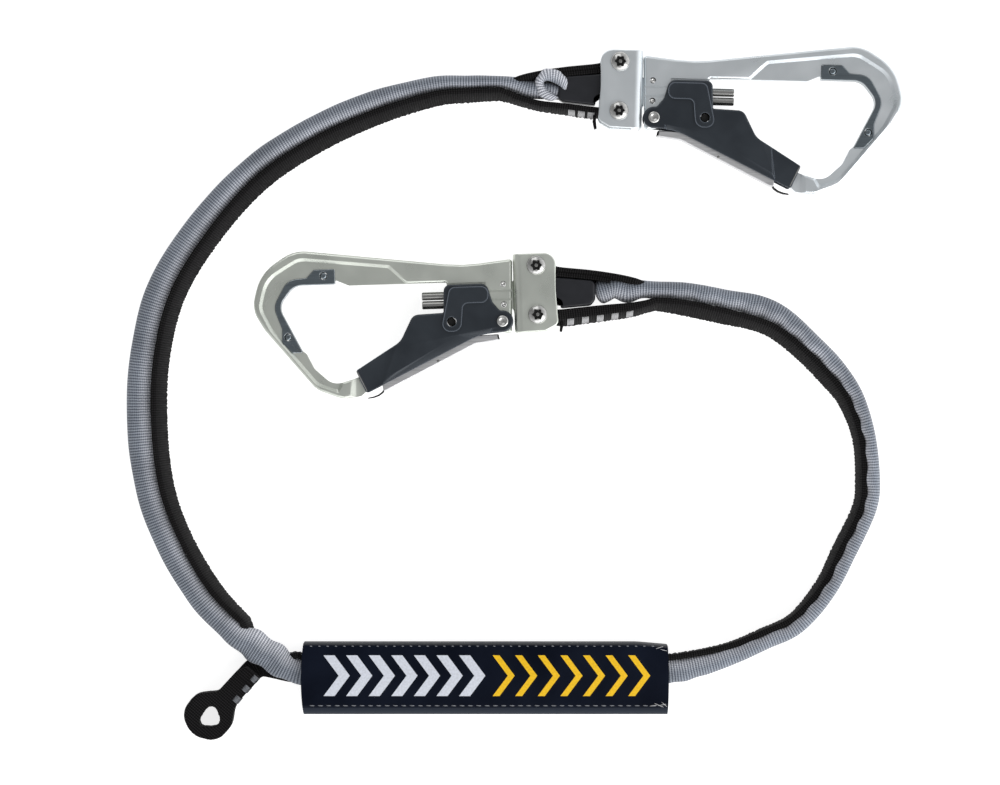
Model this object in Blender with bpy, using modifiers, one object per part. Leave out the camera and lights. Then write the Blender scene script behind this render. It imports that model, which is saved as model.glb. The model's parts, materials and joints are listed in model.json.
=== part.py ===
"""Twin-arm shock absorbing lanyard with two interlocking hooks, lying flat.

A vinyl cover holds the folded tear webbing. A short tether ends in an eye for the harness.
Two arms, each a black strap beside a woven tube, end in hooks with a gate, a trigger and a plunger.
Lengths are millimetres in the design tables and metres in the scene. The origin is the middle
of the cover's underside. +X runs along the cover, +Y towards the hooks and +Z up.
"""

import math

import bmesh
import bpy
from mathutils import Matrix, Vector

MM = 0.001
CLEAR = 0.3
MERGE = 0.00001

# Cover and absorber
COVER_LENGTH = 197.0
COVER_WIDTH = 39.0
COVER_HEIGHT = 22.0
COVER_WALL = 1.2
PACK_LENGTH = 172.0
PACK_WIDTH = 25.0
PACK_LAYERS = 5
PACK_BASE = 6.1
WEBBING = 2.2
LAYER_PITCH = 2.7

# Hook, in its own frame: x from the strap to the nose, y to the spine, z across the faces
HOOK_HEIGHT = 14.0
FRAME_HALF = 6.5
POCKET_DEPTH = 1.5
INSERT_HALF = 5.6
TENON_HALF = 5.2
GUIDE_HALF = 3.6
GATE_INNER = 6.9
GATE_OUTER = 8.9
BOSS_OUTER = 10.0
TRIGGER_HALF = 6.3
LUG_INNER = 4.2
BRACKET_HALF = 10.5
BRACKET_GAP = 7.5
BRACKET_WEB_X = 7.0
LOOP_HALF = 6.8
SCREW_HEAD_TOP = 13.5
SCREW_PLACES = {"upper": (0.0, 13.5), "lower": (0.0, -13.0)}
ROLL_PIN_PLACES = {"upper": (18.0, 4.0), "lower": (18.0, -7.0)}
RIVET_PLACES = {"upper": (115.0, 11.5), "lower": (135.0, -21.0)}
GATE_PIVOT = (19.0, -16.0)
TRIGGER_PIVOT = (46.5, -15.5)
PLUNGER_AXIS_Y = -2.55
ROD_SPACING = 4.7
ROD_RADIUS = 2.2
ROD_TIP = 62.3
PIVOT_END_RADIUS = 5.8
WRIST_X = -64.5
WRIST_GAP = 9.0

# Hook places in the world: middle of the clamp screws, turn about Z, flip, wrist height in y
HOOKS = {
    "a": {"at": (72.3, 319.7), "turn": -1.5, "flip": False, "wrist_y": -2.1},
    "b": {"at": (27.7, 209.8), "turn": 1.8, "flip": True, "wrist_y": -6.6},
}

# Each arm's tube from the cover to the hook: x, y, width of the tube, width of the strap
ARM_A = (
    (-101.5, 2.8, 13.5, 3.0),
    (-105.5, 3.3, 13.6, 3.2),
    (-116.5, 11.3, 14.0, 3.6),
    (-136.5, 24.8, 12.5, 6.0),
    (-154.7, 44.0, 12.3, 7.5),
    (-171.5, 72.5, 12.3, 7.5),
    (-182.3, 101.5, 12.4, 8.0),
    (-187.0, 137.0, 13.0, 8.5),
    (-185.5, 175.0, 12.8, 8.5),
    (-176.0, 212.0, 13.0, 8.5),
    (-155.0, 246.0, 12.5, 8.5),
    (-128.3, 275.8, 11.6, 9.0),
    (-97.3, 296.8, 11.4, 9.0),
    (-63.0, 312.3, 11.0, 8.5),
    (-29.0, 321.6, 8.8, 8.0),
    (7.7, 322.9, 7.0, 7.0),
)
ARM_B = (
    (101.5, 3.9, 13.5, 3.0),
    (119.0, 7.5, 11.8, 3.0),
    (135.0, 12.5, 9.4, 3.0),
    (152.0, 19.7, 8.6, 3.5),
    (170.2, 28.6, 8.5, 4.0),
    (186.8, 47.7, 7.5, 5.5),
    (196.9, 67.1, 7.8, 6.0),
    (208.0, 90.5, 7.6, 6.0),
    (210.0, 108.0, 7.8, 6.0),
    (207.9, 131.3, 7.2, 6.0),
    (201.0, 152.8, 8.3, 7.0),
    (191.0, 167.5, 9.4, 8.0),
    (176.8, 182.2, 9.8, 8.0),
    (161.8, 195.0, 11.5, 8.0),
    (148.3, 201.2, 12.4, 8.0),
    (129.5, 205.3, 10.6, 9.0),
    (109.5, 209.0, 9.4, 9.0),
    (92.7, 208.8, 7.0, 7.0),
)
TUBE_GIRTH = 24.5
TUBE_WALL = 1.3
TUBE_SIDES = 10
TUBE_END_HEIGHT = 12.0
TUBE_LIFT_AT_COVER = 11.0
LIFT_X = 100.0
LIFT_Y = 3.3
STRAP_HEIGHT = 13.5
CABLE_RADIUS = 1.6
CABLE_SIDES = 5
STRAP_CLEAR = 0.6
ARM_STATIONS = 24

# Harness tether
TETHER_PIVOT = (-124.5, 6.5)
TETHER_TURN = 229.2
TETHER_HALF_WIDTH = 6.2
TETHER_HEIGHT = 15.0
EYE_REACH = 36.7
EYE_SIDE = -1.3
EYE_OUTER = 12.7
EYE_INNER = 5.3

COLOURS = {
    "anodised": ((0.56, 0.58, 0.58), 0.38, 0.9),
    "charcoal": ((0.030, 0.036, 0.043), 0.42, 0.6),
    "dark_steel": ((0.10, 0.10, 0.10), 0.25, 1.0),
    "bright_steel": ((0.72, 0.72, 0.72), 0.22, 1.0),
    "black_webbing": ((0.016, 0.016, 0.018), 0.85, 0.0),
    "grey_weave": ((0.20, 0.22, 0.25), 0.8, 0.0),
    "navy_vinyl": ((0.006, 0.010, 0.022), 0.45, 0.0),
    "black_rubber": ((0.008, 0.008, 0.010), 0.5, 0.0),
    "tear_webbing": ((0.45, 0.42, 0.34), 0.85, 0.0),
}


def clear_scene():
    for thing in list(bpy.data.objects):
        bpy.data.objects.remove(thing, do_unlink=True)


def new_collection(name):
    collection = bpy.data.collections.new(name)
    bpy.context.scene.collection.children.link(collection)
    return collection


def material_for(node, colour):
    base, roughness, metallic = COLOURS[colour]
    material = bpy.data.materials.new(node + "_finish")
    material.use_nodes = True
    shader = material.node_tree.nodes["Principled BSDF"]
    shader.inputs["Base Color"].default_value = (*base, 1.0)
    shader.inputs["Roughness"].default_value = roughness
    shader.inputs["Metallic"].default_value = metallic
    return material


# ---------------------------------------------------------------- outlines and meshes


def arc(centre, radius, start, end, steps):
    """Points on a circle, from start to end degrees."""
    points = []
    for i in range(steps + 1):
        angle = math.radians(start + (end - start) * i / steps)
        points.append((centre[0] + radius * math.cos(angle), centre[1] + radius * math.sin(angle)))
    return points


def rounded(corners, degrees_per_step=24.0):
    """A closed outline through corners (x, y) or (x, y, radius), each turned on its radius."""
    outline = []
    count = len(corners)
    for i, corner in enumerate(corners):
        here = Vector(corner[:2])
        radius = corner[2] if len(corner) > 2 else 0.0
        before = Vector(corners[i - 1][:2]) - here
        after = Vector(corners[(i + 1) % count][:2]) - here
        if radius <= 0.0:
            outline.append(tuple(here))
            continue
        into, out = before.normalized(), after.normalized()
        half = into.angle(out) / 2.0
        if math.pi / 2.0 - half < 0.01:
            outline.append(tuple(here))
            continue
        reach = min(radius / math.tan(half), 0.48 * before.length, 0.48 * after.length)
        radius = reach * math.tan(half)
        centre = here + (into + out).normalized() * (radius / math.sin(half))
        start = here + into * reach - centre
        sweep = math.pi - 2.0 * half
        turn = 1.0 if into.x * out.y - into.y * out.x < 0.0 else -1.0
        steps = max(1, round(math.degrees(sweep) / (degrees_per_step if radius > 1.2 else 90.0)))
        for k in range(steps + 1):
            angle = turn * sweep * k / steps
            spin = Matrix.Rotation(angle, 2)
            outline.append(tuple(centre + spin @ start))
    return outline


def grown(corners, distance):
    """Rounded-outline corners moved outwards by distance; the corners run anticlockwise."""
    moved = []
    count = len(corners)
    for i, corner in enumerate(corners):
        here = Vector(corner[:2])
        into = (here - Vector(corners[i - 1][:2])).normalized()
        out = (Vector(corners[(i + 1) % count][:2]) - here).normalized()
        side_in = Vector((into.y, -into.x))
        side_out = Vector((out.y, -out.x))
        push = (side_in + side_out) / (1.0 + side_in.dot(side_out))
        spot = here + push * distance
        moved.append((spot.x, spot.y, corner[2] if len(corner) > 2 else 0.0))
    return moved


def add_object(name, mesh, collection, parent=None):
    thing = bpy.data.objects.new(name, mesh)
    collection.objects.link(thing)
    if parent is not None:
        thing.parent = parent
    return thing


def plate_mesh(name, outlines, low, high):
    """A flat plate between two heights; the first outline is its edge and the others are holes."""
    curve = bpy.data.curves.new(name, "CURVE")
    curve.dimensions = "2D"
    curve.fill_mode = "BOTH"
    curve.extrude = (high - low) / 2.0 * MM
    for outline in outlines:
        spline = curve.splines.new("POLY")
        spline.points.add(len(outline) - 1)
        for point, (x, y) in zip(spline.points, outline):
            point.co = (x * MM, y * MM, 0.0, 1.0)
        spline.use_cyclic_u = True
    maker = bpy.data.objects.new(name, curve)
    bpy.context.scene.collection.objects.link(maker)
    bpy.context.view_layer.update()
    graph = bpy.context.evaluated_depsgraph_get()
    mesh = bpy.data.meshes.new_from_object(maker.evaluated_get(graph))
    bpy.data.objects.remove(maker)
    bpy.data.curves.remove(curve)
    weld(mesh)
    mesh.transform(Matrix.Translation((0.0, 0.0, (low + high) / 2.0 * MM)))
    return mesh


def weld(mesh):
    work = bmesh.new()
    work.from_mesh(mesh)
    bmesh.ops.remove_doubles(work, verts=work.verts, dist=MERGE)
    bmesh.ops.recalc_face_normals(work, faces=work.faces)
    work.to_mesh(mesh)
    work.free()


def box_mesh(name, low, high):
    mesh = bpy.data.meshes.new(name)
    work = bmesh.new()
    bmesh.ops.create_cube(work, size=1.0)
    size = [(high[i] - low[i]) * MM for i in range(3)]
    middle = [(high[i] + low[i]) / 2.0 * MM for i in range(3)]
    bmesh.ops.scale(work, vec=size, verts=work.verts)
    bmesh.ops.translate(work, vec=middle, verts=work.verts)
    work.to_mesh(mesh)
    work.free()
    return mesh


def cylinder_mesh(name, radius, start, end, steps=12):
    """A round bar from start to end."""
    mesh = bpy.data.meshes.new(name)
    work = bmesh.new()
    start, end = Vector(start) * MM, Vector(end) * MM
    axis = end - start
    bmesh.ops.create_cone(
        work,
        cap_ends=True,
        segments=steps,
        radius1=radius * MM,
        radius2=radius * MM,
        depth=axis.length,
    )
    turn = Vector((0.0, 0.0, 1.0)).rotation_difference(axis).to_matrix().to_4x4()
    bmesh.ops.transform(work, matrix=Matrix.Translation((start + end) / 2.0) @ turn, verts=work.verts)
    work.to_mesh(mesh)
    work.free()
    return mesh


def loft_mesh(name, rings, bore=None):
    """Rings of points joined into one closed body; bore is a second set of rings inside it."""
    mesh = bpy.data.meshes.new(name)
    work = bmesh.new()

    def skin(ring_points):
        rows = [[work.verts.new(Vector(p) * MM) for p in ring] for ring in ring_points]
        for low, high in zip(rows, rows[1:]):
            for i in range(len(low)):
                j = (i + 1) % len(low)
                work.faces.new((low[i], low[j], high[j], high[i]))
        return rows

    outer = skin(rings)
    if bore is None:
        work.faces.new(reversed(outer[0]))
        work.faces.new(outer[-1])
    else:
        inner = skin(bore)
        for end in (0, -1):
            for i in range(len(outer[end])):
                rim = (outer[end][i - 1], outer[end][i], inner[end][i], inner[end][i - 1])
                work.faces.new(rim)
    bmesh.ops.recalc_face_normals(work, faces=work.faces)
    work.to_mesh(mesh)
    work.free()
    return mesh


def oval(centre, side, across, up, count):
    """A ring of points round centre, across towards side and up along Z."""
    ring = []
    for i in range(count):
        angle = 2.0 * math.pi * i / count
        rise = Vector((0.0, 0.0, up * math.sin(angle)))
        ring.append(centre + side * (across * math.cos(angle)) + rise)
    return ring


def shade(thing, angle=35.0):
    thing.data.shade_smooth()
    thing.data.set_sharp_from_angle(angle=math.radians(angle))


def finish_part(thing, colour):
    thing.data.materials.clear()
    thing.data.materials.append(material_for(thing.name, colour))
    shade(thing)
    return thing


class Assembly:
    """Adds parts and cutters below one parent empty."""

    def __init__(self, parts, cutters, parent=None):
        self.parts = parts
        self.cutters = cutters
        self.parent = parent

    def part(self, name, mesh, colour, at=None):
        thing = add_object(name, mesh, self.parts, at or self.parent)
        if at is not None:
            thing.location = -Vector(at["pivot"])
        return finish_part(thing, colour)

    def tool(self, name, mesh, at=None):
        thing = add_object(name, mesh, self.cutters, at or self.parent)
        if at is not None:
            thing.location = -Vector(at["pivot"])
        thing.hide_render = True
        thing.display_type = "WIRE"
        return thing

    def cut(self, target, name, mesh, at=None, operation="DIFFERENCE"):
        modifier = target.modifiers.new(name, "BOOLEAN")
        modifier.operation = operation
        modifier.object = self.tool(target.name + "_" + name, mesh, at)

    def pivot(self, name, spot, parent=None):
        """An empty on a joint's axis; its parts are still drawn in the parent's frame."""
        empty = bpy.data.objects.new(name, None)
        self.parts.objects.link(empty)
        empty.parent = parent or self.parent
        offset = Vector(spot) * MM
        base = Vector(parent["pivot"]) if parent is not None else Vector((0.0, 0.0, 0.0))
        empty.location = offset - base
        empty["pivot"] = offset
        return empty


def turned_part(build, name, profile, spot, colour, at=None, steps=12):
    """A turned piece about local Z: profile points (radius, height) run down the outer side."""
    mesh = bpy.data.meshes.new(name)
    points = [(radius * MM, 0.0, height * MM) for radius, height in profile]
    mesh.from_pydata(points, [(i, i + 1) for i in range(len(points) - 1)], [])
    thing = add_object(name, mesh, build.parts, at or build.parent)
    offset = Vector((spot[0], spot[1], 0.0)) * MM
    base = Vector(at["pivot"]) if at is not None else Vector((0.0, 0.0, 0.0))
    thing.location = offset - base
    spin = thing.modifiers.new("turn", "SCREW")
    spin.steps = steps
    spin.render_steps = steps
    spin.use_merge_vertices = True
    spin.merge_threshold = MERGE
    thing.data.materials.append(material_for(name, colour))
    return thing


def coil_part(build, name, start, end, radius, wire, turns, colour, at=None):
    """A helical spring along the line from start to end."""
    curve = bpy.data.curves.new(name, "CURVE")
    curve.dimensions = "3D"
    curve.bevel_depth = wire / 2.0 * MM
    curve.bevel_resolution = 0
    curve.use_fill_caps = True
    start, end = Vector(start), Vector(end)
    axis = end - start
    frame = Vector((0.0, 0.0, 1.0)).rotation_difference(axis).to_matrix()
    per_turn = 6
    count = turns * per_turn + 1
    spline = curve.splines.new("POLY")
    spline.points.add(count - 1)
    for i, point in enumerate(spline.points):
        angle = 2.0 * math.pi * i / per_turn
        along = axis.length * i / (count - 1)
        spot = frame @ Vector((radius * math.cos(angle), radius * math.sin(angle), along)) + start
        point.co = (*(spot * MM), 1.0)
    thing = add_object(name, curve, build.parts, at or build.parent)
    if at is not None:
        thing.location = -Vector(at["pivot"])
    curve.materials.append(material_for(name, colour))
    return thing


# ---------------------------------------------------------------- hook outlines

FRAME_OUTLINE = (
    (12.8, 17.6, 0.8), (40.0, 14.7, 80.0), (130.5, 25.9, 15.0), (149.0, 13.6, 20.0),
    (154.0, -5.5, 12.0), (147.5, -17.0, 18.0), (120.5, -50.0, 14.0), (106.0, -55.6, 14.0),
    (97.0, -53.8, 0.8), (91.2, -50.4, 0.8), (90.6, -44.0, 0.8), (92.2, -41.4, 0.8),
    (99.5, -44.4, 2.0), (111.5, -47.8, 9.0), (121.5, -38.5, 6.0), (125.2, -30.7, 0.6),
    (128.8, -29.4, 0.3), (140.9, -4.5, 8.5), (132.8, 8.6, 9.0), (107.2, 9.3, 1.2),
    (101.5, 5.9, 1.5), (48.6, 5.9, 1.0), (48.6, -8.2, 0.6), (27.0, -8.2, 1.0),
    (26.0, -11.0, 1.0),
)
INSERT_OUTLINE = (
    (108.8, 6.8, 0.4), (131.0, 6.8, 9.0), (139.8, -4.3, 8.0), (127.3, -28.5, 0.6),
    (127.3, -30.2, 0.4), (133.0, -29.6, 2.0), (138.4, -24.0, 2.5), (138.2, -16.5, 3.0),
    (142.6, -4.5, 9.0), (134.5, 9.9, 9.0), (124.3, 10.6, 1.5), (120.0, 15.0, 1.5),
    (108.8, 15.0, 1.0),
)
FACE_POCKET = (
    (68.0, 0.0), (71.0, 6.2, 1.0), (80.0, 15.2, 3.0), (128.0, 20.0, 11.0),
    (145.2, 9.8, 16.0), (149.0, -5.0, 9.0), (143.0, -17.2, 16.0), (119.5, -46.3, 10.0),
    (107.0, -51.3, 1.0), (104.5, -40.0), (112.0, -30.0), (120.0, 0.0),
)
GATE_OUTLINE = (
    (31.0, -22.6, 40.0), (93.7, -52.7, 1.5), (99.0, -40.3, 0.8), (74.5, -25.3, 10.0),
    (67.3, -11.1, 5.0), (50.8, -10.5, 0.8), (50.2, 4.6, 3.5), (27.0, 4.6, 4.5),
    (24.2, -5.5, 5.0),
)
GATE_CHANNEL = (
    (5.0, -60.0), (104.0, -60.0), (104.0, -45.5), (89.0, -36.5, 2.0), (72.6, -26.4, 8.0),
    (68.4, -15.2, 1.5), (67.4, -14.8), (67.4, 12.0), (5.0, 12.0),
)
BOSS_OUTLINE = (
    (26.9, 2.6, 3.8), (46.6, 2.6, 3.5), (51.8, -20.3, 4.8), (42.0, -20.3, 4.8),
    (40.6, -5.2, 3.0), (26.9, -5.2, 3.8),
)
TRIGGER_OUTLINE = (
    (20.9, -26.0, 0.5), (34.0, -27.6, 8.0), (82.5, -51.2, 2.0), (84.6, -51.6, 0.6),
    (84.9, -47.8, 0.6), (57.0, -34.4, 2.0), (51.4, -15.5, 4.7), (48.4, -10.8, 2.5),
    (44.6, -10.8, 2.5), (41.7, -15.5, 4.7), (39.5, -25.7, 2.0), (33.5, -23.3, 5.0),
    (21.7, -22.9, 0.5),
)
TRIGGER_SLOT = ((30.0, -21.4), (38.0, -25.2), (62.0, -36.8), (64.0, -5.0), (30.0, -5.0))
TRIGGER_PIN_RADIUS = 2.2
TRIGGER_SPRING_ENDS = ((73.0, -40.6, 0.0), (76.4, -31.4, 0.0))
BRACKET_OUTLINE = (
    (-10.8, 20.0, 6.5), (12.5, 20.0, 1.2), (12.5, -22.5, 1.2), (-4.5, -22.0, 4.0),
    (-11.2, -18.4, 3.5), (-10.2, 0.0, 60.0),
)
BOOT_OUTLINE = (
    (-31.0, -7.2, 2.5), (-31.0, 1.0, 3.0), (-10.5, 6.2, 3.0), (5.0, 5.9, 1.0),
    (5.0, -5.6, 1.0), (-7.5, -6.0, 2.0), (-10.5, -8.4, 2.0),
)
TONGUE_LOW = (11.5, -9.6, -4.2)
TONGUE_HIGH = (25.0, 5.4, 4.2)
TONGUE_CLEAR = 0.4
CAVITY_END = 37.5
YOKE_LOW = (33.5, -7.3, -2.3)
YOKE_HIGH = (36.5, 2.2, 2.3)
YOKE_CLEAR = 0.45
SPRING_SLOT_RADIUS = 4.7
SPRING_SLOT_HALF = 2.7
PIN_HOLE = 2.35
PIN_RADIUS = 2.0
ROLL_PIN_RADIUS = 1.2
RIVET_RADIUS = 1.7
BARREL_RADIUS = 3.6
BARREL_BORE = 2.8
SHANK_RADIUS = 2.5
BIG = 30.0


def build_frame(build, tag):
    lug = arc(GATE_PIVOT, PIVOT_END_RADIUS, 20.0, -90.0, 8)
    outline = rounded(FRAME_OUTLINE) + lug + [(14.2, -23.2), (12.8, -22.4)]
    mesh = plate_mesh("frame", [outline], -FRAME_HALF, FRAME_HALF)
    frame = build.part("frame_" + tag, mesh, "anodised")
    inlay = rounded(grown(INSERT_OUTLINE, CLEAR))
    build.cut(frame, "inlay_cut", plate_mesh("cutter", [inlay], -BIG, BIG))
    floor = FRAME_HALF - POCKET_DEPTH
    pocket = rounded(FACE_POCKET)
    build.cut(frame, "pocket_top", plate_mesh("cutter", [pocket], floor, BIG))
    build.cut(frame, "pocket_back", plate_mesh("cutter", [pocket], -BIG, -floor))
    for side, low, high in (("top", TENON_HALF, BIG), ("back", -BIG, -TENON_HALF)):
        build.cut(frame, "tenon_" + side, box_mesh("cutter", (80.0, -60.0, low), (99.2, -38.0, high)))
    for side, low, high in (("top", GUIDE_HALF, BIG), ("back", -BIG, -GUIDE_HALF)):
        build.cut(frame, "guide_" + side, box_mesh("cutter", (27.6, -9.0, low), (50.0, 5.5, high)))
    low = [TONGUE_LOW[0], TONGUE_LOW[1] - TONGUE_CLEAR, TONGUE_LOW[2] - TONGUE_CLEAR]
    high = [edge + TONGUE_CLEAR for edge in TONGUE_HIGH]
    build.cut(frame, "tongue_pocket", box_mesh("cutter", low, high))
    low = (TONGUE_HIGH[0], YOKE_LOW[1] - YOKE_CLEAR, YOKE_LOW[2] - YOKE_CLEAR)
    high = (CAVITY_END, YOKE_HIGH[1] + YOKE_CLEAR, YOKE_HIGH[2] + YOKE_CLEAR)
    build.cut(frame, "plunger_cavity", box_mesh("cutter", low, high))
    for side in (-1, 1):
        y = PLUNGER_AXIS_Y + side * ROD_SPACING / 2.0
        bore = cylinder_mesh("cutter", ROD_RADIUS + CLEAR, (36.0, y, 0.0), (52.0, y, 0.0))
        build.cut(frame, "rod_bore_" + ("low" if side < 0 else "high"), bore)
    slot = arc(GATE_PIVOT, SPRING_SLOT_RADIUS, 90.0, 270.0, 10) + [(32.0, -20.7), (32.0, -11.3)]
    build.cut(frame, "spring_slot", plate_mesh("cutter", [slot], -SPRING_SLOT_HALF, SPRING_SLOT_HALF))
    hole = cylinder_mesh("cutter", PIN_HOLE, (*GATE_PIVOT, -BIG), (*GATE_PIVOT, BIG))
    build.cut(frame, "pivot_hole", hole)
    for side, spot in ROLL_PIN_PLACES.items():
        hole = cylinder_mesh("cutter", ROLL_PIN_RADIUS + CLEAR, (*spot, -BIG), (*spot, BIG), 10)
        build.cut(frame, "roll_hole_" + side, hole)
    return frame


def build_insert(build, tag):
    holes = [arc(spot, RIVET_RADIUS + CLEAR, 0.0, 330.0, 11) for spot in RIVET_PLACES.values()]
    outlines = [rounded(INSERT_OUTLINE)] + holes
    mesh = plate_mesh("insert", outlines, -INSERT_HALF, INSERT_HALF)
    build.part("wear_insert_" + tag, mesh, "dark_steel")
    for side, spot in RIVET_PLACES.items():
        head = ((0.0, 5.9), (RIVET_RADIUS - 0.5, 5.9), (RIVET_RADIUS, 5.4))
        profile = head + tuple((radius, -height) for radius, height in reversed(head))
        turned_part(build, "insert_rivet_" + side + "_" + tag, profile, spot, "bright_steel", steps=12)


def build_gate(build, tag, hinge):
    pivot_end = arc(GATE_PIVOT, PIVOT_END_RADIUS, 78.0, 276.0, 12)
    outline = rounded(GATE_OUTLINE) + pivot_end
    mesh = plate_mesh("gate", [outline], -GATE_OUTER, GATE_OUTER)
    gate = build.part("gate_" + tag, mesh, "charcoal", hinge)
    boss = rounded(BOSS_OUTLINE)
    inside = GATE_INNER + 1.0
    for side, low, high in (("top", inside, BOSS_OUTER), ("back", -BOSS_OUTER, -inside)):
        build.cut(gate, "boss_" + side, plate_mesh("cutter", [boss], low, high), hinge, "UNION")
    mesh = plate_mesh("cutter", [rounded(GATE_CHANNEL)], -GATE_INNER, GATE_INNER)
    build.cut(gate, "channel", mesh, hinge)
    for name, spot in (("pivot_hole", GATE_PIVOT), ("trigger_hole", TRIGGER_PIVOT)):
        radius = PIN_HOLE if spot == GATE_PIVOT else TRIGGER_PIN_RADIUS + 0.4
        hole = cylinder_mesh("cutter", radius, (*spot, -BIG), (*spot, BIG))
        build.cut(gate, name, hole, hinge)
    head = ((0.0, 10.2), (2.4, 10.2), (3.1, 9.6), (3.1, 9.2), (PIN_RADIUS, 9.2))
    profile = head + tuple((radius, -height) for radius, height in reversed(head))
    turned_part(build, "gate_pin_" + tag, profile, GATE_PIVOT, "bright_steel", steps=12)
    x, y = GATE_PIVOT
    coil_part(build, "gate_spring_" + tag, (x, y, -2.2), (x, y, 2.2), 3.4, 0.9, 3, "bright_steel", hinge)


def build_trigger(build, tag, hinge, gate_hinge):
    outline = rounded(TRIGGER_OUTLINE)
    mesh = plate_mesh("trigger", [outline], -TRIGGER_HALF, TRIGGER_HALF)
    trigger = build.part("trigger_" + tag, mesh, "bright_steel", hinge)
    build.cut(trigger, "slot", plate_mesh("cutter", [list(TRIGGER_SLOT)], -LUG_INNER, LUG_INNER), hinge)
    radius = TRIGGER_PIN_RADIUS + CLEAR
    hole = cylinder_mesh("cutter", radius, (*TRIGGER_PIVOT, -BIG), (*TRIGGER_PIVOT, BIG))
    build.cut(trigger, "pin_hole", hole, hinge)
    near, far = LUG_INNER + CLEAR, GATE_OUTER + 0.1
    for side, low, high in (("top", near, far), ("back", -far, -near)):
        pin = cylinder_mesh("pin", TRIGGER_PIN_RADIUS, (*TRIGGER_PIVOT, low), (*TRIGGER_PIVOT, high))
        build.part("trigger_pin_" + side + "_" + tag, pin, "dark_steel", gate_hinge)
    start, end = TRIGGER_SPRING_ENDS
    name = "trigger_spring_" + tag
    coil_part(build, name, start, end, 2.2, 0.8, 4, "bright_steel", gate_hinge)


def build_plunger(build, tag, slide):
    rods = []
    for side in (-1, 1):
        y = PLUNGER_AXIS_Y + side * ROD_SPACING / 2.0
        rods.append(cylinder_mesh("rod", ROD_RADIUS, (34.5, y, 0.0), (ROD_TIP, y, 0.0), 12))
    plunger = build.part("plunger_" + tag, box_mesh("yoke", YOKE_LOW, YOKE_HIGH), "bright_steel", slide)
    for side, rod in zip(("low", "high"), rods):
        build.cut(plunger, "rod_" + side, rod, slide, "UNION")
    start, end = (14.6, PLUNGER_AXIS_Y, 0.0), (32.6, PLUNGER_AXIS_Y, 0.0)
    coil_part(build, "plunger_spring_" + tag, start, end, 1.7, 0.7, 5, "bright_steel")


def build_bracket(build, tag):
    outline = rounded(BRACKET_OUTLINE)
    mesh = plate_mesh("bracket", [outline], -BRACKET_HALF, BRACKET_HALF)
    bracket = build.part("bracket_" + tag, mesh, "anodised")
    build.cut(bracket, "tongue", box_mesh("cutter", TONGUE_LOW, TONGUE_HIGH), None, "UNION")
    slot = box_mesh("cutter", (-BIG, -BIG, -BRACKET_GAP), (BRACKET_WEB_X, BIG, BRACKET_GAP))
    build.cut(bracket, "strap_slot", slot)
    y = PLUNGER_AXIS_Y
    build.cut(bracket, "spring_bore", cylinder_mesh("cutter", 2.4, (14.0, y, 0.0), (26.0, y, 0.0)))
    for side, spot in SCREW_PLACES.items():
        hole = cylinder_mesh("cutter", BARREL_RADIUS + CLEAR, (*spot, -BIG), (*spot, BIG))
        build.cut(bracket, "screw_hole_" + side, hole)
    for side, spot in ROLL_PIN_PLACES.items():
        hole = cylinder_mesh("cutter", ROLL_PIN_RADIUS + CLEAR, (*spot, -BIG), (*spot, BIG), 10)
        build.cut(bracket, "roll_hole_" + side, hole)
        end = FRAME_HALF - 0.1
        profile = ((0.0, end), (ROLL_PIN_RADIUS, end), (ROLL_PIN_RADIUS, -end), (0.0, -end))
        turned_part(build, "roll_pin_" + side + "_" + tag, profile, spot, "bright_steel", steps=10)


def build_clamp_screws(build, tag):
    top = SCREW_HEAD_TOP
    seat = BRACKET_HALF + CLEAR
    socket = ((0.0, top - 1.7), (2.2, top - 1.7), (2.2, top - 0.1))
    dome = socket + ((4.4, top - 0.9), (5.2, seat + 0.4), (5.2, seat))
    for side, spot in SCREW_PLACES.items():
        profile = dome + ((SHANK_RADIUS, seat), (SHANK_RADIUS, -6.5), (0.0, -6.5))
        turned_part(build, "clamp_screw_" + side + "_" + tag, profile, spot, "bright_steel", steps=12)
        bore = ((0.0, -7.2), (BARREL_BORE, -7.2), (BARREL_BORE, 9.9))
        sleeve = ((BARREL_RADIUS, 9.9), (BARREL_RADIUS, -seat))
        head = tuple((radius, -height) for radius, height in reversed(dome))
        profile = bore + sleeve + head
        turned_part(build, "barrel_nut_" + side + "_" + tag, profile, spot, "bright_steel", steps=12)


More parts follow.
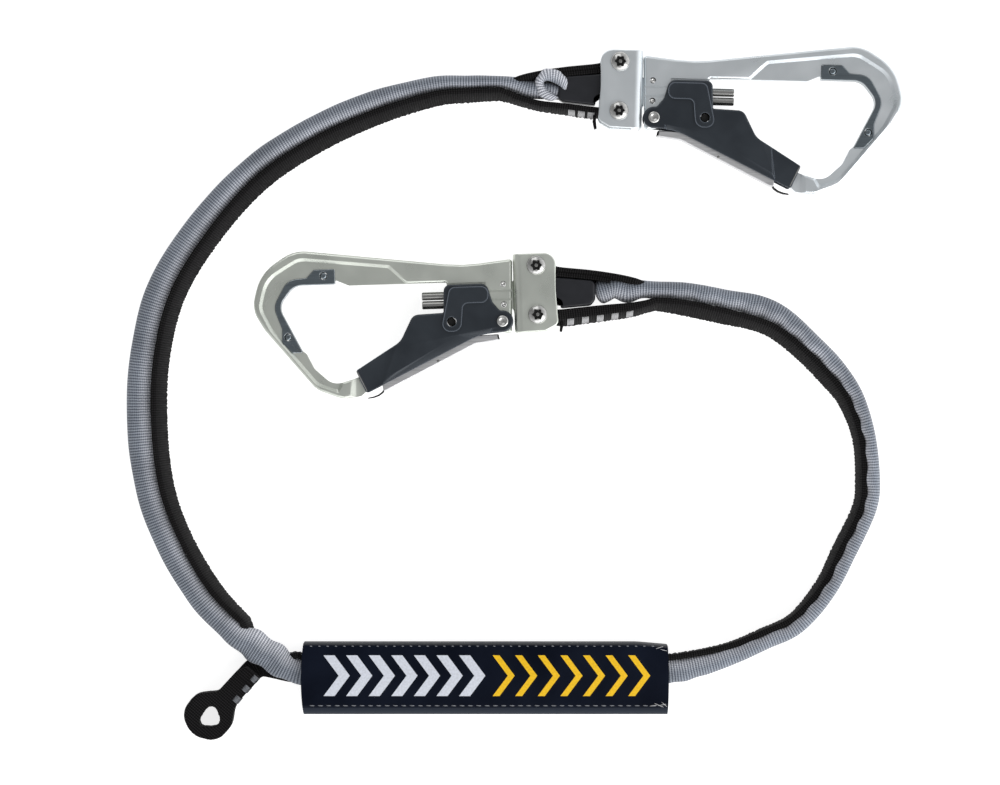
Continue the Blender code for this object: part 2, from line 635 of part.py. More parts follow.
def build_strap_loop(build, tag, wrist_y):
    """The webbing that forks to both clamp screws, with its eyes, and the boot between its strands."""
    left = WRIST_X + WRIST_GAP
    edge = (
        (left, wrist_y - 7.4, 0.5), (left, wrist_y - 0.4, 0.5), (left + 2.0, wrist_y + 8.9, 3.0),
        (-8.0, 14.9, 4.0), (-5.8, 19.8, 5.8), (6.3, 19.8, 6.2), (6.3, 7.2, 6.2), (-6.2, 7.4, 4.0),
        (-9.0, 9.4, 3.0), (left + 6.5, wrist_y + 3.5, 2.0),
        (left + 10.0, min(wrist_y - 5.1, -7.5), 3.0),
        (-9.0, -9.9, 3.0), (-6.2, -6.9, 4.0), (6.3, -6.7, 6.2), (6.3, -19.3, 6.2), (-5.8, -19.3, 5.8),
        (-8.0, -15.6, 4.0), (left + 8.5, min(wrist_y - 10.9, -13.0), 5.0),
    )
    eyes = [arc(spot, BARREL_RADIUS + CLEAR, 0.0, 330.0, 11) for spot in SCREW_PLACES.values()]
    mesh = plate_mesh("strap_loop", [rounded(edge)] + eyes, -LOOP_HALF, LOOP_HALF)
    build.part("strap_loop_" + tag, mesh, "black_webbing")
    boot = plate_mesh("boot", [rounded(BOOT_OUTLINE)], -6.4, 6.4)
    build.part("strain_boot_" + tag, boot, "black_rubber")
    drop = HOOKS["a"]["wrist_y"] - wrist_y
    stations = (
        (left + 8.8, -1.3 - 0.93 * drop, 4.4),
        (-39.5, -2.2 - 0.78 * drop, 8.6),
        (-31.8, -2.8 - 0.27 * drop, 8.6),
    )
    rings, bores = [], []
    along_y = Vector((0.0, 1.0, 0.0))
    for x, y, width in stations:
        for rows, shrink in ((rings, 0.0), (bores, TUBE_WALL)):
            across, up = width / 2.0 - shrink, TUBE_END_HEIGHT / 2.0 - shrink
            rows.append(oval(Vector((x, y, 0.0)), along_y, across, up, TUBE_SIDES))
    build.part("tube_end_" + tag, loft_mesh("tube_end", rings, bores), "grey_weave")


def build_hook(whole, tag, lift):
    """One hook, hung from the wrist hinge at the end of its arm."""
    place = HOOKS[tag]
    flip = Matrix.Rotation(math.pi, 3, "Y") if place["flip"] else Matrix.Identity(3)
    turn = Matrix.Rotation(math.radians(place["turn"]), 3, "Z") @ flip
    middle = Vector((*place["at"], HOOK_HEIGHT))
    wrist_spot = middle + turn @ Vector((WRIST_X, place["wrist_y"], 0.0))
    wrist = whole.pivot("wrist_" + tag, wrist_spot, lift)
    frame_empty = whole.pivot("hook_place_" + tag, middle, wrist)
    frame_empty.rotation_euler = turn.to_euler()
    build = Assembly(whole.parts, whole.cutters, frame_empty)
    gate_hinge = build.pivot("gate_hinge_" + tag, (*GATE_PIVOT, 0.0))
    trigger_hinge = build.pivot("trigger_hinge_" + tag, (*TRIGGER_PIVOT, 0.0), gate_hinge)
    slide = build.pivot("plunger_slide_" + tag, (ROD_TIP, PLUNGER_AXIS_Y, 0.0))
    build_frame(build, tag)
    build_insert(build, tag)
    build_gate(build, tag, gate_hinge)
    build_trigger(build, tag, trigger_hinge, gate_hinge)
    build_plunger(build, tag, slide)
    build_bracket(build, tag)
    build_clamp_screws(build, tag)
    build_strap_loop(build, tag, place["wrist_y"])


# ---------------------------------------------------------------- arms, tether and absorber


def smooth_path(points, stations):
    """Evenly spaced rows along a smooth curve through the rows of a table."""
    fine = []
    per_span = 12
    last = len(points) - 1
    for i in range(last):
        rows = [Vector(points[max(0, min(last, i + k))]) for k in (-1, 0, 1, 2)]
        for k in range(per_span):
            t = k / per_span
            fine.append(
                0.5
                * (
                    2.0 * rows[1]
                    + (rows[2] - rows[0]) * t
                    + (2.0 * rows[0] - 5.0 * rows[1] + 4.0 * rows[2] - rows[3]) * t ** 2
                    + (3.0 * rows[1] - rows[0] - 3.0 * rows[2] + rows[3]) * t ** 3
                )
            )
    fine.append(Vector(points[last]))
    lengths = [0.0]
    for before, after in zip(fine, fine[1:]):
        lengths.append(lengths[-1] + (Vector(after[:2]) - Vector(before[:2])).length)
    rows = []
    k = 0
    for i in range(stations):
        target = lengths[-1] * i / (stations - 1)
        while k < len(fine) - 2 and lengths[k + 1] < target:
            k += 1
        share = (target - lengths[k]) / (lengths[k + 1] - lengths[k])
        rows.append(fine[k].lerp(fine[k + 1], share))
    return rows


def arm_stations(table, inner_side):
    """Row of the table, run direction and inward side direction at each station."""
    rows = smooth_path(table, ARM_STATIONS)
    stations = []
    for i, row in enumerate(rows):
        before = rows[max(0, i - 1)]
        after = rows[min(len(rows) - 1, i + 1)] if i > 0 else Vector(table[1])
        along = Vector((after[0] - before[0], after[1] - before[1], 0.0)).normalized()
        side = Vector((-along.y, along.x, 0.0)) * inner_side
        stations.append((row, along, side))
    return stations


def build_arm(build, tag, table, inner_side, lift):
    """One arm's woven tube, the strap on its inner side and the cable inside the tube."""
    stations = arm_stations(table, inner_side)
    total = len(stations) - 1
    tube, bore, strap, cable = [], [], [], []
    for i, (row, along, side) in enumerate(stations):
        x, y, tube_width, strap_width = row
        share = i / total
        height = TUBE_GIRTH - tube_width
        resting = height / 2.0 + CLEAR
        near_cover = max(0.0, 1.0 - share * 9.0)
        near_hook = max(0.0, share * 7.0 - 6.0)
        z = resting + (TUBE_LIFT_AT_COVER - resting) * near_cover ** 0.5
        z += (HOOK_HEIGHT - z) * near_hook
        height = min(height, 2.0 * z - 0.4)
        centre = Vector((x, y, z))
        across, up = tube_width / 2.0, height / 2.0
        tube.append(oval(centre, side, across, up, TUBE_SIDES))
        bore.append(oval(centre, side, across - TUBE_WALL, up - TUBE_WALL, TUBE_SIDES))
        cable.append(oval(centre, side, CABLE_RADIUS, CABLE_RADIUS, CABLE_SIDES))
        low = STRAP_HEIGHT / 2.0 + CLEAR
        strap_z = low + (TUBE_LIFT_AT_COVER - low) * near_cover
        strap_z += (HOOK_HEIGHT - strap_z) * near_hook
        middle = centre + side * (tube_width / 2.0 + STRAP_CLEAR + strap_width / 2.0)
        middle.z = strap_z
        strap.append(strap_ring(middle, side, strap_width, STRAP_HEIGHT))
    heading = stations[-1][1]
    for rings in (tube, bore, strap):
        round_end(rings, heading)
    build.part("arm_tube_" + tag, loft_mesh("tube", tube, bore), "grey_weave", lift)
    build.part("arm_strap_" + tag, loft_mesh("strap", strap), "black_webbing", lift)
    build.part("link_cable_" + tag, loft_mesh("cable", cable[:-1]), "bright_steel", lift)


def strap_ring(middle, side, width, height):
    """An eight-sided webbing section with chamfered corners."""
    rise = Vector((0.0, 0.0, 1.0))
    nip = min(width, height) * 0.22
    half_w, half_h = width / 2.0, height / 2.0
    corners = (
        (half_w, half_h - nip), (half_w - nip, half_h),
        (nip - half_w, half_h), (-half_w, half_h - nip),
        (-half_w, nip - half_h), (nip - half_w, -half_h),
        (half_w - nip, -half_h), (half_w, nip - half_h),
    )
    return [middle + side * u + rise * v for u, v in corners]


def round_end(rings, heading):
    """Adds two narrowing rings, so that the end turns freely inside its neighbour's gap."""
    last = rings[-1]
    middle = sum((Vector(p) for p in last), Vector()) / len(last)
    for reach, scale in ((2.0, 0.86), (3.4, 0.5)):
        rings.append([middle + (Vector(p) - middle) * scale + heading * reach for p in last])


def build_tether(build):
    root = [(-86.0, -3.5), (-101.0, -2.6), (-118.0, 1.2)]
    end = arc(TETHER_PIVOT, 5.5, -75.0, -255.0, 10)
    back = [(-118.0, 12.2), (-101.0, 8.4), (-86.0, 7.5)]
    build.part("tether_root", plate_mesh("root", [root + end + back], 1.5, 3.8), "black_webbing")
    empty = build.pivot("tether_hinge", (*TETHER_PIVOT, 0.0))
    empty.rotation_euler = (0.0, 0.0, math.radians(TETHER_TURN))
    half = TETHER_HALF_WIDTH
    start = 6.5
    flare = math.degrees(math.asin(half / EYE_OUTER)) + 3.0
    ring = arc((EYE_REACH, EYE_SIDE), EYE_OUTER, 180.0 - flare, flare - 180.0, 20)
    outline = [(start, half)] + ring + [(start, -half)]
    hole = arc((EYE_REACH, EYE_SIDE * 0.5), EYE_INNER, 0.0, 340.0, 17)
    mesh = plate_mesh("tether_eye", [outline, hole], 0.4, 0.4 + TETHER_HEIGHT)
    eye = add_object("tether_eye", mesh, build.parts, empty)
    finish_part(eye, "black_webbing")


def cover_section(shrink):
    """The cover's flattened oval section with a flat underside, drawn in by shrink."""
    half = COVER_WIDTH / 2.0 - shrink
    top = COVER_HEIGHT - shrink
    low = shrink
    return (
        (-half + 3.5, low), (half - 3.5, low), (half, low + 3.0), (half - 0.4, low + 8.0),
        (half - 3.2, top - 4.2), (half - 8.0, top - 0.7), (0.0, top), (-half + 8.0, top - 0.7),
        (-half + 3.2, top - 4.2), (-half + 0.4, low + 8.0), (-half, low + 3.0),
    )


def build_cover(build):
    half = COVER_LENGTH / 2.0
    spots = (-half, -half * 0.9, 0.0, half * 0.9, half)
    outer = [[(x, y, z) for y, z in cover_section(0.0)] for x in spots]
    inner = [[(x, y, z) for y, z in cover_section(COVER_WALL)] for x in spots]
    build.part("absorber_cover", loft_mesh("cover", outer, inner), "navy_vinyl")


def build_pack(build):
    """Tear webbing folded on itself, with a tail at each mouth of the cover."""
    half = PACK_LENGTH / 2.0
    centre_line = [(-COVER_LENGTH / 2.0 + 1.0, PACK_BASE)]
    radius = LAYER_PITCH / 2.0
    for layer in range(PACK_LAYERS):
        z = PACK_BASE + layer * LAYER_PITCH
        side = 1.0 if layer % 2 == 0 else -1.0
        reach = half if layer < PACK_LAYERS - 1 else COVER_LENGTH / 2.0 - 1.0
        centre_line.append((side * reach, z))
        if layer < PACK_LAYERS - 1:
            centre_line.append((side * (reach + radius), z + radius))
            centre_line.append((side * reach, z + LAYER_PITCH))
    above, below = [], []
    count = len(centre_line)
    for i, spot in enumerate(centre_line):
        before = Vector(centre_line[max(0, i - 1)])
        after = Vector(centre_line[min(count - 1, i + 1)])
        along = (after - before).normalized()
        normal = Vector((-along.y, along.x)) * WEBBING / 2.0
        above.append((spot[0] + normal.x, spot[1] + normal.y))
        below.append((spot[0] - normal.x, spot[1] - normal.y))
    mesh = plate_mesh("pack", [above + below[::-1]], -PACK_WIDTH / 2.0, PACK_WIDTH / 2.0)
    pack = build.part("absorber_pack", mesh, "tear_webbing")
    pack.rotation_euler = (math.pi / 2.0, 0.0, 0.0)


def main():
    clear_scene()
    parts = new_collection("shock_absorbing_lanyard")
    cutters = new_collection("cutters")
    build = Assembly(parts, cutters)
    build_cover(build)
    build_pack(build)
    build_tether(build)
    for tag, table, inner_side in (("a", ARM_A, -1.0), ("b", ARM_B, 1.0)):
        lift = build.pivot("arm_lift_" + tag, (inner_side * LIFT_X, LIFT_Y, TUBE_LIFT_AT_COVER))
        build_arm(build, tag, table, inner_side, lift)
        build_hook(build, tag, lift)


main()
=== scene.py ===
"""Looks of a twin-arm shock absorbing lanyard lying flat, seen from straight above.

Lengths in the tables are millimetres and MM turns them into metres. Each hook is drawn in its own
frame (x to the nose, y to the spine, z across the faces), which is placed from the hook's joints.
"""

import json
import math

import bmesh
import bpy
from mathutils import Matrix, Vector, noise


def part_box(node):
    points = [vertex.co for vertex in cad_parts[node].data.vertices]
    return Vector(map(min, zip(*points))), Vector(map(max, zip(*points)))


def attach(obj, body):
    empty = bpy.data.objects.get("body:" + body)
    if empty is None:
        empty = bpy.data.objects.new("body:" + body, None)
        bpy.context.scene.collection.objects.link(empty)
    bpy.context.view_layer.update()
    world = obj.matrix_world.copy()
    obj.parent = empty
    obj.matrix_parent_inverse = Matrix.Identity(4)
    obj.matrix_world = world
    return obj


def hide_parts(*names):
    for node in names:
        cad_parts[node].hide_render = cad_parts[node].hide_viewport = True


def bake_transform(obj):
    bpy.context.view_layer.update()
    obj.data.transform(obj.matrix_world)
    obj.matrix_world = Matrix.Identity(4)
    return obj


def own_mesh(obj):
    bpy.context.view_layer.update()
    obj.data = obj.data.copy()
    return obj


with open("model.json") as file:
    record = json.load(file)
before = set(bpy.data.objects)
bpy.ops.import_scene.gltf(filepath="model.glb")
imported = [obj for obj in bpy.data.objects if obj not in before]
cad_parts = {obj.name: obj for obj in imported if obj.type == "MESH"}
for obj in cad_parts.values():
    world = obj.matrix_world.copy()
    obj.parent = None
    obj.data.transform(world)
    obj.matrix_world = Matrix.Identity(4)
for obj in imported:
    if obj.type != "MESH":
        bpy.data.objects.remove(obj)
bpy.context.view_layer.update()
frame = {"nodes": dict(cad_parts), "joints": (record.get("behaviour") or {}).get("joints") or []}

MM = 0.001
JOINTS = {joint["name"]: joint for joint in frame["joints"]}
UP = Vector((0.0, 0.0, 1.0))

# ---------------------------------------------------------------- driving dimensions

COVER_WALL = 1.2
STITCH_PITCH = 4.5
PACK_LAYERS = 5
PACK_PITCH = 2.7
WEBBING = 2.6

FRAME_HALF = 6.5
POCKET_DEPTH = 1.6
GATE_HALF = 8.9
GATE_INNER = 6.9
BOSS_TOP = 10.0
TRIGGER_HALF = 6.3
BRACKET_HALF = 10.5
BRACKET_GAP = 7.5
HEAD_SEAT = 10.8
HEAD_TOP = 13.5
HEAD_RADIUS = 5.2
STRAND_HALF = 6.8

GATE_PIVOT = (19.0, -16.0)
TRIGGER_PIVOT = (46.5, -15.5)
PLUNGER_TIP = (62.3, -3.6)
ROD_SPACING = 4.8
PLUNGER_TRAVEL = 6.0
TRIGGER_SPRING = ((76.4, -31.4, 0.0), (73.0, -40.6, 0.0))
TRIGGER_TRAVEL = 2.7
SCREWS = {"upper": (0.0, 13.5), "lower": (0.0, -13.0)}
ROLL_PINS = {"upper": (18.0, 4.0), "lower": (18.0, -7.0)}
RIVETS = {"upper": (115.0, 11.5), "lower": (135.0, -21.0)}

TUBE_GIRTH = 24.5
LIFT_Z = 11.0
HOOK_Z = 14.0
STRAP_THICK = 3.0
STRAP_HEIGHT = 13.5

# Arm tubes from inside the cover to the hook: x, y, width of the tube, width of the strap beside it
ARM_A = (
    (-88.0, 3.2, 13.4, 3.0), (-100.0, 3.4, 14.4, 3.0), (-109.0, 7.0, 15.0, 3.4),
    (-116.7, 11.9, 17.0, 4.2), (-126.0, 17.9, 16.4, 5.0), (-136.4, 24.5, 13.2, 6.0),
    (-155.3, 43.6, 13.2, 7.5),
    (-172.2, 72.2, 13.6, 7.5), (-183.0, 101.2, 13.8, 8.0), (-187.7, 137.0, 14.2, 8.5),
    (-186.2, 175.2, 14.0, 8.5), (-176.6, 212.3, 14.0, 8.5), (-155.3, 246.3, 13.2, 8.5),
    (-128.3, 275.8, 11.6, 9.0), (-97.3, 296.8, 11.4, 9.0), (-63.0, 312.3, 11.0, 8.5),
    (-29.0, 321.4, 9.0, 8.0), (-8.0, 322.6, 8.0, 7.5), (7.7, 322.6, 7.2, 7.0),
)
ARM_B = (
    (88.0, 3.3, 13.0, 3.0), (101.5, 3.9, 13.5, 3.0), (119.0, 7.5, 11.8, 3.0),
    (135.0, 12.5, 9.4, 3.2), (152.0, 19.7, 8.6, 3.6), (170.2, 28.6, 8.5, 4.0),
    (186.8, 47.7, 7.5, 5.5), (196.9, 67.1, 7.8, 6.0), (208.0, 90.5, 7.6, 6.0),
    (210.0, 108.0, 7.8, 6.0), (207.9, 131.3, 7.2, 6.0), (201.0, 152.8, 8.3, 7.0),
    (191.0, 167.5, 9.4, 8.0), (176.8, 182.2, 9.8, 8.0), (161.8, 195.0, 11.5, 8.0),
    (148.3, 201.2, 12.4, 8.0), (129.5, 205.3, 10.8, 9.0), (109.5, 209.2, 10.2, 9.0),
    (92.7, 210.2, 9.3, 7.5),
)
# Past the arm's table: the tube's end (x, y, width) and the lower strand (x, y, thickness, lean)
TUBE_END = {
    "a": ((16.0, 321.4, 8.4), (22.5, 319.3, 10.0), (29.0, 318.4, 9.6), (36.0, 317.8, 8.6),
          (41.0, 316.8, 7.6)),
    "b": ((83.5, 210.5, 10.4), (76.2, 209.9, 12.8), (69.4, 210.9, 10.8), (62.5, 209.2, 12.8)),
}
LOWER_STRAND = {
    "a": ((12.5, 316.6, 3.0, 3.4), (17.0, 314.6, 3.0, 2.6), (22.0, 312.9, 3.0, 2.4),
          (30.0, 310.9, 3.0, 2.4), (44.0, 309.4, 3.0, 3.0), (58.0, 307.7, 3.0, 3.2), (66.0, 306.9, 3.0, 1.4)),
    "b": ((86.0, 202.9, 3.6, 3.6), (78.0, 201.2, 4.4, 3.8), (66.0, 199.9, 5.0, 4.0),
          (54.0, 198.6, 5.2, 4.2), (41.5, 197.2, 5.4, 4.2), (34.0, 196.6, 5.4, 1.5)),
}
# The tether's turn in degrees, the reach of its eye, the row spacing along tubes and straps, and the reach of
# through cuts
TETHER_SWING = 229.2
EYE_REACH = 36.7
TUBE_STEP = 1.3
STRAP_STEP = 0.66
THROUGH = 20.0

# ---------------------------------------------------------------- hook outlines, hook frame

FRAME_OUTLINE = (
    (12.8, 17.6, 1.7), (40.0, 14.7, 80.0), (130.5, 25.9, 20.0), (149.2, 13.8, 26.0),
    (154.2, -5.5, 16.0), (147.5, -17.0, 22.0), (120.5, -50.0, 14.0), (106.0, -55.6, 14.0),
    (96.5, -54.0, 2.0), (90.8, -48.8, 2.0), (92.0, -41.8, 1.8),
    (99.5, -44.4, 2.0), (111.5, -47.8, 9.0), (121.5, -38.5, 6.0), (125.4, -30.4, 2.0),
    (130.2, -26.6, 2.0), (140.9, -4.5, 8.5), (132.8, 8.4, 9.0), (108.6, 9.0, 2.5),
    (101.5, 5.9, 2.5), (48.6, 5.9, 1.0), (48.6, -8.2, 1.7), (27.0, -8.2, 1.7),
    (26.0, -11.0, 1.0), (24.5, -14.0), (24.7, -17.0), (23.9, -19.1), (22.3, -20.8),
    (19.0, -21.8), (14.2, -23.2, 1.7),
)
INSERT_OUTLINE = (
    (108.8, 6.8, 0.8), (131.0, 6.8, 9.0), (139.8, -4.3, 8.0), (127.1, -29.8, 0.8),
    (133.0, -29.6, 2.0), (138.4, -24.0, 2.5), (138.2, -16.5, 3.0),
    (142.6, -4.5, 9.0), (134.5, 9.9, 9.0), (124.3, 10.6, 1.5), (120.0, 15.0, 1.5),
    (108.8, 15.0, 1.0),
)
POCKET = (
    (109.5, -50.2, 1.0), (119.5, -46.3, 10.0), (143.0, -17.2, 16.0), (149.0, -5.0, 9.0),
    (145.2, 9.8, 16.0), (128.0, 20.0, 11.0), (80.0, 14.6, 3.0), (69.5, 4.6, 1.0),
    (69.5, -2.0), (112.0, -6.0), (112.0, -30.0), (107.5, -40.0), (107.5, -47.0, 1.5),
)
GATE_OUTLINE = (
    (31.0, -22.6, 40.0), (93.7, -52.7, 1.5), (99.0, -40.3, 1.2), (74.5, -25.3, 10.0),
    (67.3, -11.1, 5.0), (50.8, -10.5, 0.8), (50.2, 4.6, 3.5), (27.0, 4.6, 4.5),
    (24.2, -5.5, 5.0),
)
GATE_CHANNEL = (
    (5.0, -60.0), (104.0, -60.0), (104.0, -45.5), (89.0, -36.5, 2.0), (72.6, -26.4, 8.0),
    (68.4, -15.2, 1.5), (67.4, -14.8), (67.4, 12.0), (5.0, 12.0),
)
BOSS_OUTLINE = (
    (26.9, 2.6, 3.8), (26.9, -5.2, 3.8), (40.6, -5.2, 3.0), (42.0, -20.3, 4.8),
    (51.8, -20.3, 4.8), (46.6, 2.6, 3.5),
)
TRIGGER_OUTLINE = (
    (20.9, -26.0, 0.5), (34.0, -27.6, 8.0), (82.5, -51.2, 2.0), (84.6, -51.6, 0.6),
    (84.9, -47.8, 0.6), (57.0, -34.4, 2.0), (51.4, -15.5, 4.7), (48.4, -10.8, 2.5),
    (44.6, -10.8, 2.5), (41.7, -15.5, 4.7), (39.5, -25.7, 2.0), (33.5, -23.3, 5.0),
    (21.7, -22.9, 0.5),
)
BRACKET_OUTLINE = (
    (-10.8, 20.0, 6.5), (-10.2, 0.0, 60.0), (-11.2, -18.4, 3.5), (-4.5, -22.0, 4.0),
    (12.5, -22.5, 1.2), (12.5, 20.0, 1.2),
)
BOOT_OUTLINE = {
    "a": (
        (-33.4, -6.8, 3.5), (-30.0, -8.8, 3.0), (-12.8, -10.2, 1.0), (-12.4, -6.2, 1.0), (4.5, -5.6, 1.0),
        (4.5, 5.9, 1.0), (-9.5, 7.2, 2.0), (-32.0, 5.0, 3.0),
    ),
    "b": (
        (-31.5, -6.0, 4.0), (-29.0, -9.0, 3.0), (-12.8, -10.0, 1.0), (-12.4, -6.2, 1.0), (4.5, -5.6, 1.0),
        (4.5, 5.9, 1.0), (-9.5, 7.2, 2.0), (-31.5, 4.6, 3.0),
    ),
}

# ---------------------------------------------------------------- materials


class Finish:
    """A Principled material and short calls for the nodes that drive it."""

    def __init__(self, name, roughness, metallic=0.0, specular=0.5):
        self.material = bpy.data.materials.new(name)
        self.material.use_nodes = True
        self.tree = self.material.node_tree
        self.shader = self.tree.nodes["Principled BSDF"]
        self.shader.inputs["Roughness"].default_value = roughness
        self.shader.inputs["Metallic"].default_value = metallic
        self.shader.inputs["Specular IOR Level"].default_value = specular

    def node(self, kind, inputs=None, **settings):
        made = self.tree.nodes.new("ShaderNode" + kind)
        for key, value in settings.items():
            setattr(made, key, value)
        for key, value in (inputs or {}).items():
            if isinstance(value, bpy.types.NodeSocket):
                self.tree.links.new(value, made.inputs[key])
            else:
                made.inputs[key].default_value = value
        return made

    def place(self, source="Object", scale=(1.0, 1.0, 1.0)):
        """The object's or the surface's own coordinates, times a scale for each axis."""
        coordinates = self.node("TexCoord").outputs[source]
        mapping = self.node("Mapping", {"Vector": coordinates, "Scale": scale})
        return mapping.outputs["Vector"]

    def ramp(self, factor, stops):
        made = self.node("ValToRGB", {"Fac": factor})
        elements = made.color_ramp.elements
        while len(elements) < len(stops):
            elements.new(0.5)
        for element, (position, colour) in zip(elements, stops):
            element.position = position
            element.color = (*colour, 1.0)
        return made.outputs["Color"]

    def math(self, operation, first, second=0.0):
        return self.node("Math", {0: first, 1: second}, operation=operation).outputs[0]

    def mix(self, factor, first, second, blend="MIX"):
        made = self.node("Mix", data_type="RGBA", blend_type=blend)
        for socket, value in ((0, factor), (6, first), (7, second)):
            if isinstance(value, bpy.types.NodeSocket):
                self.tree.links.new(value, made.inputs[socket])
            elif socket:
                made.inputs[socket].default_value = (*value, 1.0)
            else:
                made.inputs[socket].default_value = value
        return made.outputs[2]

    def edges(self, radius):
        """A share that grows from 0 on flat faces to 1 on edges, radius millimetres wide."""
        soft = self.node("Bevel", {"Radius": radius * MM}).outputs["Normal"]
        hard = self.node("NewGeometry").outputs["Normal"]
        dot = self.node("VectorMath", {0: soft, 1: hard}, operation="DOT_PRODUCT").outputs["Value"]
        inputs = {"Value": dot, "From Min": 0.995, "From Max": 0.90, "To Max": 1.0}
        return self.node("MapRange", inputs).outputs["Result"]

    def colour(self, socket):
        self.tree.links.new(socket, self.shader.inputs["Base Color"])

    def roughness(self, factor, low, high):
        spread = self.node("MapRange", {"Value": factor, "To Min": low, "To Max": high})
        self.tree.links.new(spread.outputs["Result"], self.shader.inputs["Roughness"])

    def bump(self, height, distance, strength=1.0):
        inputs = {"Height": height, "Distance": distance * MM, "Strength": strength}
        made = self.node("Bump", inputs)
        self.tree.links.new(made.outputs["Normal"], self.shader.inputs["Normal"])


def blasted_metal(name, dark, light, roughness, metallic=0.9, edge_highlight=None):
    """Bead-blasted and anodised metal: fine grain, slow clouding and a painted highlight that lightens its
    edges to a given colour.
    """
    finish = Finish(name, roughness, metallic)
    grain = finish.node("TexNoise", {"Vector": finish.place(), "Scale": 4200.0})
    clouds = finish.node("TexNoise", {"Vector": finish.place(), "Scale": 55.0})
    base = finish.ramp(clouds.outputs["Fac"], ((0.3, dark), (0.7, light)))
    # painted highlight: the edges are mixed towards the lighter colour
    if edge_highlight:
        base = finish.mix(finish.edges(0.8), base, edge_highlight)
    finish.colour(base)
    finish.roughness(clouds.outputs["Fac"], roughness - 0.06, roughness + 0.08)
    finish.bump(grain.outputs["Fac"], 0.03, 0.35)
    return finish.material


def bright_metal(name, tint, roughness, turned=False, edge_highlight=None, depth=0.015):
    """Plated or polished steel with fine drawn lines, and a painted highlight that lightens its rims to a
    given colour.
    """
    finish = Finish(name, roughness, 1.0)
    scale = (900.0, 900.0, 60.0) if turned else (60.0, 2600.0, 2600.0)
    lines = finish.node("TexNoise", {"Vector": finish.place("Object", scale), "Scale": 1.0, "Detail": 3.0})
    dark = tuple(0.8 * channel for channel in tint)
    base = finish.ramp(lines.outputs["Fac"], ((0.35, dark), (0.6, tint)))
    # painted highlight: the rims are mixed towards the lighter colour
    if edge_highlight:
        base = finish.mix(finish.edges(0.6), base, edge_highlight)
    finish.colour(base)
    finish.roughness(lines.outputs["Fac"], roughness * 0.7, roughness * 1.4)
    finish.bump(lines.outputs["Fac"], depth, 0.4)
    return finish.material


def ribbed_weave(name, colours, rib_pitch, yarn_pitch, depth, roughness, sheen, lit=0.0):
    """Woven cloth: ribs across its length, crossed by yarns, darker in the hollows as painted shade; a tube
    keeps its colour up to lit metres round from its inner side and is darkened by painted shade beyond.
    """
    finish = Finish(name, roughness, specular=0.1)
    finish.shader.inputs["Sheen Weight"].default_value = sheen
    finish.shader.inputs["Sheen Roughness"].default_value = 0.4
    turn = 2.0 * math.pi / MM
    flat = finish.node("SeparateXYZ", {0: finish.place("UV")})
    jitter = finish.node("TexNoise", {"Vector": finish.place("UV", (350.0, 350.0, 1.0)), "Scale": 1.0})
    shake = finish.math("MULTIPLY", jitter.outputs["Fac"], 2.2)
    waves = []
    for output, pitch in (("X", rib_pitch), ("Y", yarn_pitch)):
        angle = finish.math("MULTIPLY_ADD", flat.outputs[output], turn / pitch)
        wave = finish.math("SINE", finish.math("ADD", angle, shake))
        waves.append(finish.math("MULTIPLY_ADD", wave, 0.5))
        waves[-1].node.inputs[2].default_value = 0.5
    ribs, yarns = finish.math("MULTIPLY", waves[0], 0.68), finish.math("MULTIPLY", waves[1], 0.32)
    cloth = finish.math("ADD", ribs, yarns)
    # painted shade and highlight: the colour follows the weave's height, dark in the hollows and light on the
    # crowns
    base = finish.ramp(cloth, ((0.12, colours[0]), (0.55, colours[1]), (0.95, colours[2])))
    wear = finish.node("TexNoise", {"Vector": finish.place(), "Scale": 38.0, "Detail": 4.0})
    shade = finish.ramp(wear.outputs["Fac"], ((0.3, (0.72,) * 3), (0.7, (1.0,) * 3)))
    # Painted shade: past about lit metres round from the tube's inner side the colour is darkened to about
    # 0.4
    if lit:
        inputs = {"Value": flat.outputs["Y"], "From Min": 0.45 * lit, "From Max": 1.15 * lit}
        side = finish.node("MapRange", inputs).outputs["Result"]
        shade = finish.mix(side, shade, finish.mix(1.0, shade, (0.40, 0.43, 0.46), "MULTIPLY"))
    finish.colour(finish.mix(1.0, base, shade, "MULTIPLY"))
    finish.bump(cloth, depth, 0.9)
    return finish.material


def coated_cloth(name):
    """Navy-black vinyl: pebbled grain, soft creases, slightly greyed high spots and a painted highlight along
    its edge below the lower seam.
    """
    finish = Finish(name, 0.42, specular=0.05)
    place = finish.place()
    grain = finish.node("TexVoronoi", {"Vector": place, "Scale": 1300.0})
    clouds = finish.node("TexNoise", {"Vector": place, "Scale": 42.0, "Detail": 5.0})
    navy = ((0.32, (0.0022, 0.0036, 0.0085)), (0.75, (0.0050, 0.0075, 0.016)))
    face = finish.ramp(clouds.outputs["Fac"], navy)
    # Painted highlight: grey is added along the cover's -y edge, fading out within about 4 mm of it
    across = finish.node("SeparateXYZ", {0: place}).outputs["Y"]
    inputs = {"Value": across, "From Min": -0.0185, "From Max": 0.0195}
    share = finish.node("MapRange", inputs).outputs["Result"]
    edge_highlight = ((0.0, (0.017, 0.021, 0.025)), (0.07, (0.009, 0.011, 0.014)), (0.10, (0.0,) * 3))
    finish.colour(finish.mix(1.0, face, finish.ramp(share, edge_highlight), "ADD"))
    finish.roughness(clouds.outputs["Fac"], 0.34, 0.55)
    height = finish.math("MULTIPLY_ADD", clouds.outputs["Fac"], 3.0)
    finish.tree.links.new(grain.outputs["Distance"], height.node.inputs[2])
    finish.bump(height, 0.09, 0.5)
    return finish.material


def moulded(name, colour, roughness, scale=900.0):
    """Moulded or printed matter with a fine uneven skin."""
    finish = Finish(name, roughness, specular=0.4)
    skin = finish.node("TexNoise", {"Vector": finish.place(), "Scale": scale, "Detail": 3.0})
    dark = tuple(0.82 * channel for channel in colour)
    finish.colour(finish.ramp(skin.outputs["Fac"], ((0.3, dark), (0.65, colour))))
    finish.roughness(skin.outputs["Fac"], roughness - 0.08, roughness + 0.1)
    finish.bump(skin.outputs["Fac"], 0.03, 0.5)
    return finish.material


